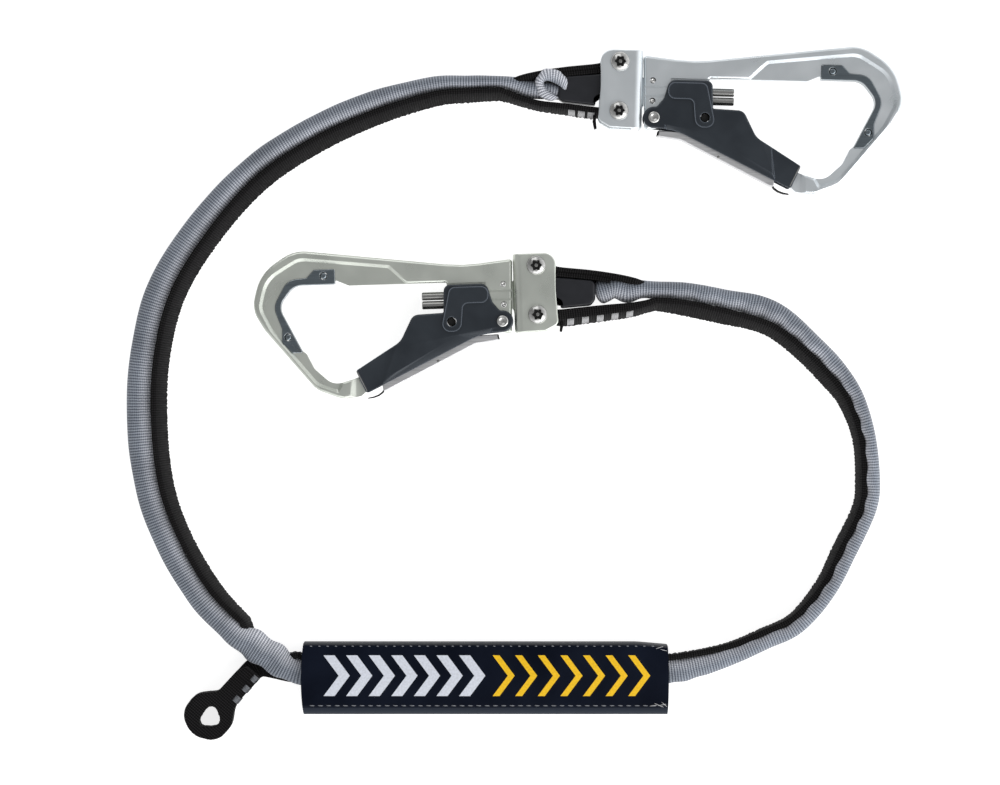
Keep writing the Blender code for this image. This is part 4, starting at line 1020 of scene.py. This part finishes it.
def make_tube(hook):
    """The woven tube, from inside the cover to its end between the hook's two strands."""
    tag = hook.tag
    table, inward = arm_layout(tag)
    ends = TUBE_END[tag]
    rows = smooth_rows([row[:3] for row in table] + list(ends), TUBE_STEP)
    ways = headings(rows)
    total = len(rows) - 1
    arm_length = TUBE_STEP * total
    rings = []
    for i, (row, way) in enumerate(zip(rows, ways)):
        x, y, width = row
        along = arm_length * i / total
        height = TUBE_GIRTH - width
        left = 1.0 - max(0.0, along - 13.0) / 50.0
        right = 1.0 - (arm_length - along) / 75.0
        z = tube_level(left, right, height)
        height = min(height, 2.0 * z - 0.8)
        if tag == "a":
            height = min(height, 10.0 + max(0.0, arm_length - 8.0 - along))
        side = Vector((-way.y, way.x, 0.0)) * inward
        centre = Vector((x, y, z))
        ring = []
        for angle in circle(36):
            bulge = wrinkle(tag, along, angle, arm_length)
            across = (width / 2.0 + bulge) * math.cos(angle)
            rise = (height / 2.0 + 0.4 * bulge) * math.sin(angle)
            ring.append(centre + side * across + UP * rise)
        rings.append(ring)
    heading = ways[-1]
    last = rings[-1]
    middle = sum(last, Vector()) / len(last)
    steps = 6
    depth = 3.4 if tag == "b" else 2.0
    for k in range(1, steps):
        turn = math.pi / 2.0 * k / steps
        push = heading * (depth * math.sin(turn))
        rings.append([middle + (spot - middle) * math.cos(turn) + push for spot in last])
    piece = Piece("woven_tube_" + tag, loft(rings), "grey_weave")
    thing = piece.settle(coordinates=False, sharp=80.0, weighted=False)
    bend_at_wrist(thing)
    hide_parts("arm_tube_" + tag, "tube_end_" + tag)


def bend_at_wrist(thing):
    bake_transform(thing)


def ribbon_ring(top, side, thickness, lean, height):
    """A webbing section on edge: rounded, thick across, with its foot leaning towards side."""
    half = thickness / 2.0
    nip = min(0.55, half * 0.6)
    corners = (
        (half, -nip), (half - nip, 0.0), (nip - half, 0.0), (-half, -nip),
        (-half, -height * 0.5), (-half, nip - height), (nip - half, -height),
        (half - nip, -height), (half, nip - height), (half, -height * 0.5),
    )
    return [top + side * (u - lean * v / height) + UP * v for u, v in corners]


def strap_rows(tag):
    """Rows x, y, z of the top edge, thickness and lean, from the cover to the lower clamp screw."""
    table, inward = arm_layout(tag)
    rows = smooth_rows(table, STRAP_STEP)
    ways = headings(rows)
    total = len(rows) - 1
    length = STRAP_STEP * total
    found = []
    for i, (row, way) in enumerate(zip(rows, ways)):
        x, y, tube_width, strap_width = row
        along = length * i / total
        near_cover = max(0.0, 1.0 - along / 60.0)
        near_hook = max(0.0, 1.0 - (length - along) / 70.0)
        low = STRAP_HEIGHT / 2.0 + 0.5
        z = low + (LIFT_Z - low) * near_cover
        z += (HOOK_Z - z) * near_hook
        side = Vector((-way.y, way.x, 0.0)) * inward
        lean = max(0.0, strap_width - STRAP_THICK)
        tuck = tucked(along) if tag == "a" else 0.0
        offset = (tube_width / 2.0 - 0.8 + STRAP_THICK / 2.0) * (1.0 - tuck)
        top = Vector((x, y, 0.0)) + side * offset
        thick = STRAP_THICK + 3.0 * tuck
        height = STRAP_HEIGHT + (4.0 - STRAP_HEIGHT) * tuck
        peak = z + STRAP_HEIGHT / 2.0
        found.append((top.x, top.y, peak + (4.3 - peak) * tuck, thick, lean, height))
    last = found[-1]
    tail = ((last[0], last[1], STRAP_THICK, last[4]),) + LOWER_STRAND[tag]
    for x, y, thickness, lean in smooth_rows(tail, STRAP_STEP)[1:]:
        found.append((x, y, HOOK_Z + STRAND_HALF, thickness, lean, STRAP_HEIGHT))
    return found


def tucked(along):
    """How far arm A's strap has slipped flat under its tube, along from the tube's inner end."""
    rise = min(1.0, max(0.0, (along - 17.0) / 9.0))
    fall = min(1.0, max(0.0, (56.0 - along) / 13.0))
    share = min(rise, fall)
    return share * share * (3.0 - 2.0 * share)


def ribbon(rows, side_sign, tooth=0.0):
    """A webbing on edge along rows of top edge, thickness, lean and height; tooth roughens its foot."""
    ways = headings(rows)
    rings = []
    for i, (row, way) in enumerate(zip(rows, ways)):
        side = Vector((-way.y, way.x, 0.0)) * side_sign
        bite = tooth * (1.6 * noise.noise(Vector((i * 0.43, 9.0, 0.0))) + (0.35 if i % 3 else -0.35))
        ring = ribbon_ring(Vector(row[:3]), side, row[3] + 0.25 * bite, row[4] + bite, row[5])
        rings.append(ring)
    return loft(rings)


def make_strap(hook):
    """The arm's webbing, as one piece at the cover's end and one that runs on to the lower strand."""
    tag = hook.tag
    inward = arm_layout(tag)[1]
    rows = strap_rows(tag)
    split = len(rows) // 3
    parts = (("root", rows[: split + 1]), ("run", rows[split:]))
    for name, some in parts:
        piece = Piece("strap_" + name + "_" + tag, ribbon(some, inward, 0.28), "black_webbing")
        thing = piece.settle(coordinates=False, sharp=50.0, weighted=False)
        if name == "root":
            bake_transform(thing)
            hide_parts("arm_strap_" + tag)
        else:
            bend_at_wrist(thing)


def loop_round(spot, radius, start, end, lean, thickness):
    return [(x, y, thickness, lean) for x, y in arc(spot, radius, start, end, 14)]


def make_strands(hook):
    """The fork of the strap: each strand runs round its clamp screw and back along itself."""
    upper, lower = SCREWS["upper"], SCREWS["lower"]
    table = ((-66.0, -3.0), (-57.0, 2.6), (-46.0, 6.0), (-30.0, 9.0), (-13.0, 11.2), (-7.6, 12.9))
    outer = [(x, y, WEBBING, 6.0) for x, y in smooth_rows(table, 1.0)]
    turn = loop_round(upper, 5.25, 168.0, -125.0, 0.4, WEBBING)
    inner = ((-8.5, 8.6), (-13.0, 8.2), (-30.0, 6.1), (-40.0, 3.9))
    back = [(x, y, WEBBING, 3.0) for x, y in smooth_rows(inner, 1.0)]
    low_turn = loop_round(lower, 5.25, 205.0, 490.0, 0.4, WEBBING)
    runs = {"upper": outer + turn + back, "lower": low_turn}
    for side, rows in runs.items():
        work = []
        for x, y, thickness, lean in rows:
            squeeze = min(1.0, max(0.28, (x + 68.0) / 14.0))
            top = STRAND_HALF * (1.0 if squeeze >= 1.0 else 2.0 * squeeze - 1.0)
            work.append((x, y, top, thickness, lean * squeeze))
        ways = headings(work)
        rings = []
        for row, way in zip(work, ways):
            across = Vector((-way.y, way.x, 0.0)) * (-1.0 if side == "upper" else 1.0)
            rings.append(ribbon_ring(Vector(row[:3]), across, row[3], row[4], row[2] + STRAND_HALF))
        mesh = loft(rings)
        if hook.tag == "b":
            mesh.transform(Matrix.Scale(-1.0, 4, UP))
            mesh.flip_normals()
        piece = Piece(hook.name("strand_" + side), mesh, "black_webbing")
        thing = piece.settle(hook.place, coordinates=False, sharp=50.0, weighted=False)
        nodes = [hook.name("strap_loop")] if side == "upper" else []
        ride(thing, hook.name("hook"), "black_webbing", *nodes)


def make_boot(hook):
    work = Piece(hook.name("boot"), slab(rounded(BOOT_OUTLINE[hook.tag]), -6.2, 6.4), "boot")
    work.bevel(1.3, 4, 40.0)
    ride(work.settle(hook.place, sharp=60.0), hook.name("hook"), "black_rubber", hook.name("strain_boot"))


def stitches(name, spots, look, width=0.75):
    """Thread lying from point to point: each stitch is a short arched rod with round ends."""
    work = bmesh.new()
    for start, end, lift in spots:
        start, end, lift = Vector(start), Vector(end), Vector(lift)
        turn = UP.rotation_difference(end - start).to_matrix()
        rows = []
        for k in range(7):
            t = k / 6.0
            swell = math.sin(math.pi * (0.08 + 0.84 * t)) ** 0.5
            centre = start.lerp(end, t) + lift * math.sin(math.pi * t)
            ring = []
            for angle in circle(7):
                offset = Vector((math.cos(angle), math.sin(angle), 0.0)) * (width / 2.0 * swell)
                ring.append(work.verts.new(centre + turn @ offset))
            rows.append(ring)
        for low, high in zip(rows, rows[1:]):
            for j in range(7):
                work.faces.new((low[j], low[(j + 1) % 7], high[(j + 1) % 7], high[j]))
        work.faces.new(list(reversed(rows[0])))
        work.faces.new(rows[-1])
    return Piece(name, mesh_from(work, name), look)


def make_bar_tacks(hook):
    """White bar tacks on the outer face of the lower strand, and the webbing's cut tail."""
    tag = hook.tag
    rows = LOWER_STRAND[tag]
    inward = Vector((0.0, -1.0, 0.0))
    count, first, last = (3, 46.5, 57.0) if tag == "a" else (5, 78.0, 46.0)
    spots = []
    for n in range(count):
        middle = first + (last - first) * n / (count - 1)
        for k in range(6):
            x = middle + (k - 2.5) * 0.62
            y, thickness, lean = strand_at(rows, x)
            out_top = inward * (thickness / 2.0 + 0.12 + lean / 13.0)
            out_low = inward * (thickness / 2.0 + 0.12 + lean * 0.91)
            face_top = Vector((x, y, HOOK_Z + STRAND_HALF - 1.0)) + out_top
            face_low = Vector((x, y, HOOK_Z - STRAND_HALF + 1.2)) + out_low
            spots.append((face_top, face_low, inward * 0.3))
    piece = stitches("bar_tacks_" + tag, spots, "thread", 0.6)
    thing = piece.settle(sharp=80.0, weighted=False)
    ride(thing, "hook_" + tag, "black_webbing")
    tail = ((-12.9, -15.4, 1.4, 0.0), (-13.1, -18.6, 1.9, 0.2), (-12.3, -22.6, 1.3, 0.0))
    rings = []
    for (x, y, thickness, lean), way in zip(tail, headings(tail)):
        across = Vector((-way.y, way.x, 0.0))
        rings.append(ribbon_ring(Vector((x, y, 5.0)), across, thickness, lean, 10.0))
    piece = Piece("webbing_tail_" + tag, loft(rings), "black_webbing")
    ride(piece.settle(hook.place, coordinates=False, weighted=False), "hook_" + tag, "black_webbing")


def strand_at(rows, x):
    """The strand's centre height in y, its thickness and lean at x."""
    ordered = sorted(rows)
    for before, after in zip(ordered, ordered[1:]):
        if before[0] <= x <= after[0]:
            t = (x - before[0]) / (after[0] - before[0])
            return tuple(before[i] + (after[i] - before[i]) * t for i in (1, 2, 3))
    return ordered[-1][1:]


def make_cuff(hook):
    """The turned-back end of arm A's tube: a lopsided roll round a slanting mouth."""
    rim, rim_size = Vector((35.5, 321.2)), 8.8
    mouth, mouth_size = Vector((37.2, 318.8)), Vector((6.6, 2.7))
    tilt = math.radians(-33.0)
    start, sweep = math.radians(-14.0), math.radians(300.0)
    rings = []
    count = 64
    for i in range(count + 1):
        share = i / count
        angle = start + sweep * share
        way = Vector((math.cos(angle), math.sin(angle)))
        ripple = 0.22 * math.sin(angle * 7.0) + 0.25 * math.sin(angle * 3.0 + 1.0)
        edge = rim + way * (rim_size + ripple)
        around = angle - tilt
        oval = Vector((mouth_size.x * math.cos(around), mouth_size.y * math.sin(around)))
        lip = mouth + Matrix.Rotation(tilt, 2) @ oval
        middle, gap = (edge + lip) / 2.0, (edge - lip) / 2.0
        thin = min(1.0, 0.30 + 7.0 * share, 0.35 + 5.0 * (1.0 - share))
        rise = (2.6 + 1.6 * max(0.0, way.y)) * thin
        ring = []
        for turn in circle(16):
            spot = middle + gap * (math.cos(turn) * (0.55 + 0.45 * thin))
            ring.append(Vector((spot.x, spot.y, HOOK_Z + 5.0 + rise * math.sin(turn))))
        rings.append(ring)
    piece = Piece("tube_cuff_a", loft(rings), "grey_weave")
    ride(piece.settle(coordinates=False, sharp=80.0, weighted=False), hook.name("hook"), "grey_weave")


# ---------------------------------------------------------------- cover and absorber

COVER_LOW, COVER_HIGH = (Vector(corner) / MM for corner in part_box("absorber_cover"))
COVER_HALF = (COVER_HIGH.x - COVER_LOW.x) / 2.0
COVER_SIDE = (COVER_HIGH.y - COVER_LOW.y) / 2.0
COVER_TOP = COVER_HIGH.z
UPPER_SEAM = 18.3
LOWER_SEAM = -14.6


def cover_top(x, y):
    """Height of the cover's upper face, with soft dips between its stitch lines."""
    crown = COVER_TOP - 0.9 - 0.9 * (y / COVER_SIDE) ** 2
    dent = 0.35 * noise.noise(Vector((x * 0.022, y * 0.05, 1.7)))
    pucker = 0.12 * math.sin(x * 2.0 * math.pi / STITCH_PITCH) * math.exp(-((y - UPPER_SEAM) / 1.2) ** 2)
    pucker += 0.12 * math.sin(x * 2.0 * math.pi / STITCH_PITCH) * math.exp(-((y - LOWER_SEAM) / 1.2) ** 2)
    return crown + dent + pucker


def cover_ring(x, shrink):
    """The sleeve's section at x: flat below, seamed edges, gently crowned above."""
    half = COVER_SIDE - shrink
    top = lambda y: cover_top(x, y) - shrink
    lip = 0.35
    points = [(-half + 3.0, shrink), (0.0, shrink), (half - 3.0, shrink), (half - 0.6, shrink + 1.4)]
    points += [(half, shrink + 4.5), (half, 9.5), (half - 0.15, top(half) - 4.6)]
    points += [(half - 0.6, top(half) - 1.6), (half - 1.2, top(half) - 0.4)]
    points.append((UPPER_SEAM - shrink, top(UPPER_SEAM) + lip * 0.5))
    for k in range(1, 18):
        y = UPPER_SEAM - shrink + (LOWER_SEAM - UPPER_SEAM + 2.0 * shrink) * k / 18.0
        points.append((y, top(y)))
    points += [(LOWER_SEAM + shrink, top(LOWER_SEAM)), (LOWER_SEAM - 0.35, top(LOWER_SEAM) - 0.9)]
    points += [(LOWER_SEAM - 0.9, top(LOWER_SEAM) - 0.7), (-half + 1.4, top(-half) - 2.9)]
    points += [(-half + 0.4, top(-half) - 4.4), (-half, top(-half) - 6.6), (-half, 9.0)]
    points += [(-half, shrink + 4.5), (-half + 0.6, shrink + 1.4)]
    return points


def make_cover():
    outer, inner = [], []
    count = 66
    for i in range(count + 1):
        share = -1.0 + 2.0 * i / count
        x = COVER_HALF * share
        for rings, shrink in ((outer, 0.0), (inner, COVER_WALL)):
            ring = []
            for y, z in cover_ring(x, shrink):
                bow = 1.3 * (1.0 - (y / COVER_SIDE) ** 2) * (abs(share) ** 6) * (1.0 if share < 0 else 0.4)
                slope = 1.4 * max(0.0, (x - 82.0) / 16.0) if y > 0 else 0.0
                narrow = 1.0 - slope / COVER_SIDE
                ring.append(Vector((x + math.copysign(bow, x), y * narrow, z)))
            rings.append(ring)
    piece = Piece("vinyl_cover", loft(outer, bore=inner), "vinyl")
    piece.bevel(0.3, 2, 60.0)
    ride(piece.settle(sharp=42.0), "root", "navy_vinyl", "absorber_cover")


def make_cover_stitches():
    for name, seam in (("upper", UPPER_SEAM - 0.5), ("lower", LOWER_SEAM + 0.3)):
        spots = []
        count = int((2.0 * COVER_HALF - 6.0) / STITCH_PITCH)
        for i in range(count):
            x = -COVER_HALF + 3.5 + i * STITCH_PITCH
            long = 1.5 if name == "upper" else 2.6
            z = cover_top(x, seam) + 0.1
            spots.append(((x, seam, z - 0.15), (x + long, seam - 0.15, z - 0.15), (0.0, 0.0, 0.35)))
        piece = stitches("cover_stitches_" + name, spots, "dim_thread", 0.6)
        ride(piece.settle(sharp=80.0, weighted=False), "root", "navy_vinyl")
    frays = []
    for x, y, dx, dy in ((92.0, 16.4, 4.0, 1.2), (94.5, 16.0, 3.4, -0.8), (91.0, -13.0, 5.0, -2.2),
                         (93.0, -14.4, 4.6, 0.9), (95.0, -12.4, 3.0, -2.6), (88.5, -14.6, 4.0, 0.4)):
        z = cover_top(x, y) + 0.35
        frays.append(((x, y, z), (x + dx, y + dy, z - 0.2), (0.0, 0.0, 0.5)))
    piece = stitches("cover_loose_threads", frays, "thread", 0.35)
    ride(piece.settle(sharp=80.0, weighted=False), "root", "navy_vinyl")


def make_print():
    """A printed row of plain chevrons, white and then yellow, following the cover's face."""
    rows = (("white", -87.5, 7, 4.8, "print_white"), ("yellow", 3.8, 7, 3.0, "print_yellow"))
    for name, start, count, stroke, look in rows:
        work = bmesh.new()
        for n in range(count):
            add_chevron(work, start + 12.2 * n, 1.25 * stroke)
        piece = Piece("cover_print_" + name, mesh_from(work, name), look)
        ride(piece.settle(), "root", "navy_vinyl")


def add_chevron(work, x, stroke):
    """One chevron as a film 0.12 mm proud of the cover."""
    middle, reach, rise = 1.8, 8.2, 11.0
    steps = 8
    rows = []
    for k in range(-steps, steps + 1):
        t = k / steps
        y = middle + rise * t
        left = x + reach * (1.0 - abs(t))
        spots = [(left + stroke * u, 0.12) for u in (0.0, 0.5, 1.0)]
        spots += [(px, -0.4) for px, _ in reversed(spots)]
        rows.append([work.verts.new((px, y, cover_top(px, y) + lift)) for px, lift in spots])
    for low, high in zip(rows, rows[1:]):
        for j in range(6):
            work.faces.new((low[j], low[(j + 1) % 6], high[(j + 1) % 6], high[j]))
    work.faces.new(rows[0])
    work.faces.new(list(reversed(rows[-1])))


def make_pack():
    """The folded tear webbing: one ribbon laid to and fro, with its tails in the cover's mouths."""
    low, high = (Vector(corner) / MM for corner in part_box("absorber_pack"))
    width = (high.y - low.y) / 2.0
    base = low.z + 1.1
    half = 86.0
    radius = PACK_PITCH / 2.0
    line = [(low.x, base)]
    for layer in range(PACK_LAYERS):
        z = base + layer * PACK_PITCH
        side = 1.0 if layer % 2 == 0 else -1.0
        if layer < PACK_LAYERS - 1:
            start, end = (-90.0, 90.0) if side > 0 else (270.0, 90.0)
            line += arc((side * half, z + radius), radius, start, end, 8)
        else:
            line.append((high.x, z))
    rings = []
    count = len(line)
    for i, (x, z) in enumerate(line):
        before, after = Vector(line[max(0, i - 1)]), Vector(line[min(count - 1, i + 1)])
        along = (after - before).normalized()
        normal = Vector((-along.y, along.x)) * 1.05
        ring = []
        for across, out in ((-width, -1.0), (-width + 1.0, -1.15), (width - 1.0, -1.15), (width, -1.0),
                            (width, 1.0), (width - 1.0, 1.15), (-width + 1.0, 1.15), (-width, 1.0)):
            ring.append(Vector((x + normal.x * out, across, z + normal.y * out)))
        rings.append(ring)
    piece = Piece("tear_webbing_pack", loft(rings), "tear_webbing")
    ride(piece.settle(coordinates=False, weighted=False), "root", "tear_webbing", "absorber_pack")


# ---------------------------------------------------------------- tether


def make_tether():
    """The short tether: flat where it leaves the cover, on edge from the bend to the sewn eye."""
    swing = Vector(JOINTS["tether_swing"]["pos_m"]) / MM
    turn = Matrix.Rotation(math.radians(TETHER_SWING), 4, "Z")
    place = Matrix.Translation(Vector((swing.x, swing.y, 0.0)) * MM) @ turn @ Matrix.Scale(MM, 4)
    corners = (
        (3.4, 5.9, 1.5), (3.4, -3.6, 1.0), (9.0, -6.2, 3.0), (24.0, -6.6, 10.0), (27.0, -9.8, 12.0),
        (32.9, -15.0, 12.0), (45.2, -14.2, 13.0), (51.3, -1.8, 13.0), (44.4, 11.0, 13.0),
        (33.0, 11.4, 12.0), (24.0, 5.6, 12.0),
    )
    outline = []
    for x, y in rounded(corners, 4.0):
        frayed = 0.16 * noise.noise(Vector((x * 0.9, y * 0.9, 5.0)))
        outline.append((x + frayed, y + frayed))
    hole = []
    for angle in circle(44):
        across, up = math.cos(angle), math.sin(angle)
        uneven = 0.5 * noise.noise(Vector((across * 5.0, up * 5.0, 2.0)))
        radius = 5.3 - 0.6 * math.cos(3.0 * (angle - 2.7)) + uneven
        hole.append((EYE_REACH + 0.7 + radius * 1.12 * across, -0.5 + radius * 0.95 * up))
    piece = Piece("tether_eye_webbing", slab(outline, 0.5, 15.3), "black_webbing")
    piece.cut(slab(hole, -5.0, 25.0))
    piece.bevel(0.7, 3, 40.0)
    ride(piece.settle(place, sharp=50.0), "tether", "black_webbing", "tether_eye")
    spots = []
    for middle in (5.6, 12.6, 20.2):
        for k in range(6):
            x = middle + (k - 2.5) * 0.62
            spots.append(((x, 5.5, 15.2), (x, 2.4, 15.25), (0.0, 0.0, 0.2)))
            spots.append(((x, 5.75, 14.6), (x, 5.75, 3.0), (0.0, 0.25, 0.0)))
    tacks = stitches("tether_bar_tacks", spots, "dim_thread", 0.6)
    ride(tacks.settle(place, sharp=80.0, weighted=False), "tether", "black_webbing")
    neck = (
        ((-90.0, 3.0), 13.0, 0.7, 2.6), ((-104.0, 3.4), 13.0, 0.7, 2.6), ((-114.0, 5.2), 12.6, 0.7, 2.6),
        ((-121.0, 6.2), 12.2, 0.7, 2.8), ((-125.6, 4.6), 12.0, 0.7, 3.9), ((-128.2, 2.2), 12.0, 0.6, 9.0),
        ((-130.4, -0.4), 12.0, 0.5, 15.0), ((-132.0, -2.2), 12.0, 0.5, 15.0),
    )
    rows = smooth_rows([(*spot, width, low, high) for spot, width, low, high in neck], 0.9)
    rings = []
    for row, way in zip(rows, headings(rows)):
        side = Vector((-way.y, way.x, 0.0))
        x, y, width, low, high = row
        half = width / 2.0
        section = ((-half, low + 0.5), (-half + 0.5, low), (half - 0.5, low), (half, low + 0.5),
                   (half, high - 0.5), (half - 0.5, high), (-half + 0.5, high), (-half, high - 0.5))
        rings.append([Vector((x, y, 0.0)) + side * u + UP * v for u, v in section])
    piece = Piece("tether_neck", loft(rings), "black_webbing")
    thing = piece.settle(coordinates=False, weighted=False)
    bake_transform(thing)
    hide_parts("tether_root")


# ---------------------------------------------------------------- stage


def dress_hidden_nodes():
    """The cables in the tubes keep their solids and take a plated finish."""
    for name, node in frame["nodes"].items():
        if "cable" in name:
            node.data.materials.clear()
            node.data.materials.append(LOOK["bright_steel"])


def make_stage():
    work = bmesh.new()
    bmesh.ops.create_grid(work, x_segments=1, y_segments=1, size=6.0)
    floor = bpy.data.objects.new("floor", mesh_from(work, "floor"))
    bpy.context.scene.collection.objects.link(floor)
    floor.location = (0.0, 0.0, -0.0004)
    floor.data.materials.append(pale_floor("pale_floor"))
    world = bpy.data.worlds.new("studio")
    bpy.context.scene.world = world
    world.use_nodes = True
    tree = world.node_tree
    background = tree.nodes["Background"]
    coordinates = tree.nodes.new("ShaderNodeTexCoord")
    split = tree.nodes.new("ShaderNodeSeparateXYZ")
    ramp = tree.nodes.new("ShaderNodeValToRGB")
    tree.links.new(coordinates.outputs["Generated"], split.inputs[0])
    tree.links.new(split.outputs["Z"], ramp.inputs["Fac"])
    lean = tree.nodes.new("ShaderNodeVectorMath")
    lean.operation = "DOT_PRODUCT"
    lean.inputs[1].default_value = (0.55, -0.38, 0.0)
    tree.links.new(coordinates.outputs["Generated"], lean.inputs[0])
    gain = tree.nodes.new("ShaderNodeMath")
    gain.inputs[1].default_value = 1.0
    tree.links.new(lean.outputs["Value"], gain.inputs[0])
    shade = tree.nodes.new("ShaderNodeVectorMath")
    shade.operation = "SCALE"
    tree.links.new(ramp.outputs["Color"], shade.inputs[0])
    tree.links.new(gain.outputs[0], shade.inputs["Scale"])
    tree.links.new(shade.outputs["Vector"], background.inputs["Color"])
    stops = ((0.0, 1.0), (0.35, 1.0), (0.62, 0.85), (0.86, 0.52), (1.0, 0.42))
    elements = ramp.color_ramp.elements
    while len(elements) < len(stops):
        elements.new(0.5)
    for element, (position, value) in zip(elements, stops):
        element.position = position
        element.color = (value, value * 1.003, value * 1.012, 1.0)
    background.inputs["Strength"].default_value = 0.95
    lamps = (
        ("key", (0.85, -0.55, 0.95), 1.0, 8.0), ("fill", (-0.3, 1.3, 0.9), 0.9, 3.0),
        ("low", (0.0, -1.0, 0.75), 0.9, 3.0),
    )
    for name, spot, size, power in lamps:
        lamp = bpy.data.lights.new(name, "AREA")
        lamp.shape = "SQUARE"
        lamp.size = size
        lamp.energy = power
        thing = bpy.data.objects.new(name, lamp)
        bpy.context.scene.collection.objects.link(thing)
        thing.location = spot
        aim = Vector((0.0, 0.16, 0.0)) - Vector(spot)
        thing.rotation_euler = aim.to_track_quat("-Z", "Y").to_euler()


def make_camera():
    """Straight above the loop: 540 mm across the picture at the height of the hooks' upper faces."""
    distance, seen = 2400.0, 540.0
    camera = bpy.data.cameras.new("camera")
    camera.sensor_width = 36.0
    camera.lens = camera.sensor_width * distance / seen
    camera.clip_start = 0.01
    thing = bpy.data.objects.new("camera", camera)
    bpy.context.scene.collection.objects.link(thing)
    thing.location = (7.8 * MM, 154.7 * MM, (distance + HOOK_Z + FRAME_HALF) * MM)
    bpy.context.scene.camera = thing
    bpy.context.scene.view_settings.view_transform = "Standard"


def main():
    make_cover()
    make_cover_stitches()
    make_print()
    make_pack()
    make_tether()
    for tag in ("a", "b"):
        hook = Hook(tag)
        make_frame(hook)
        make_insert(hook)
        make_gate(hook)
        make_trigger(hook)
        make_plunger(hook)
        make_springs(hook)
        make_bracket(hook)
        make_screws(hook)
        make_tube(hook)
        make_strap(hook)
        make_strands(hook)
        make_boot(hook)
        make_bar_tacks(hook)
    make_cuff(Hook("a"))
    dress_hidden_nodes()
    make_stage()
    make_camera()


main()
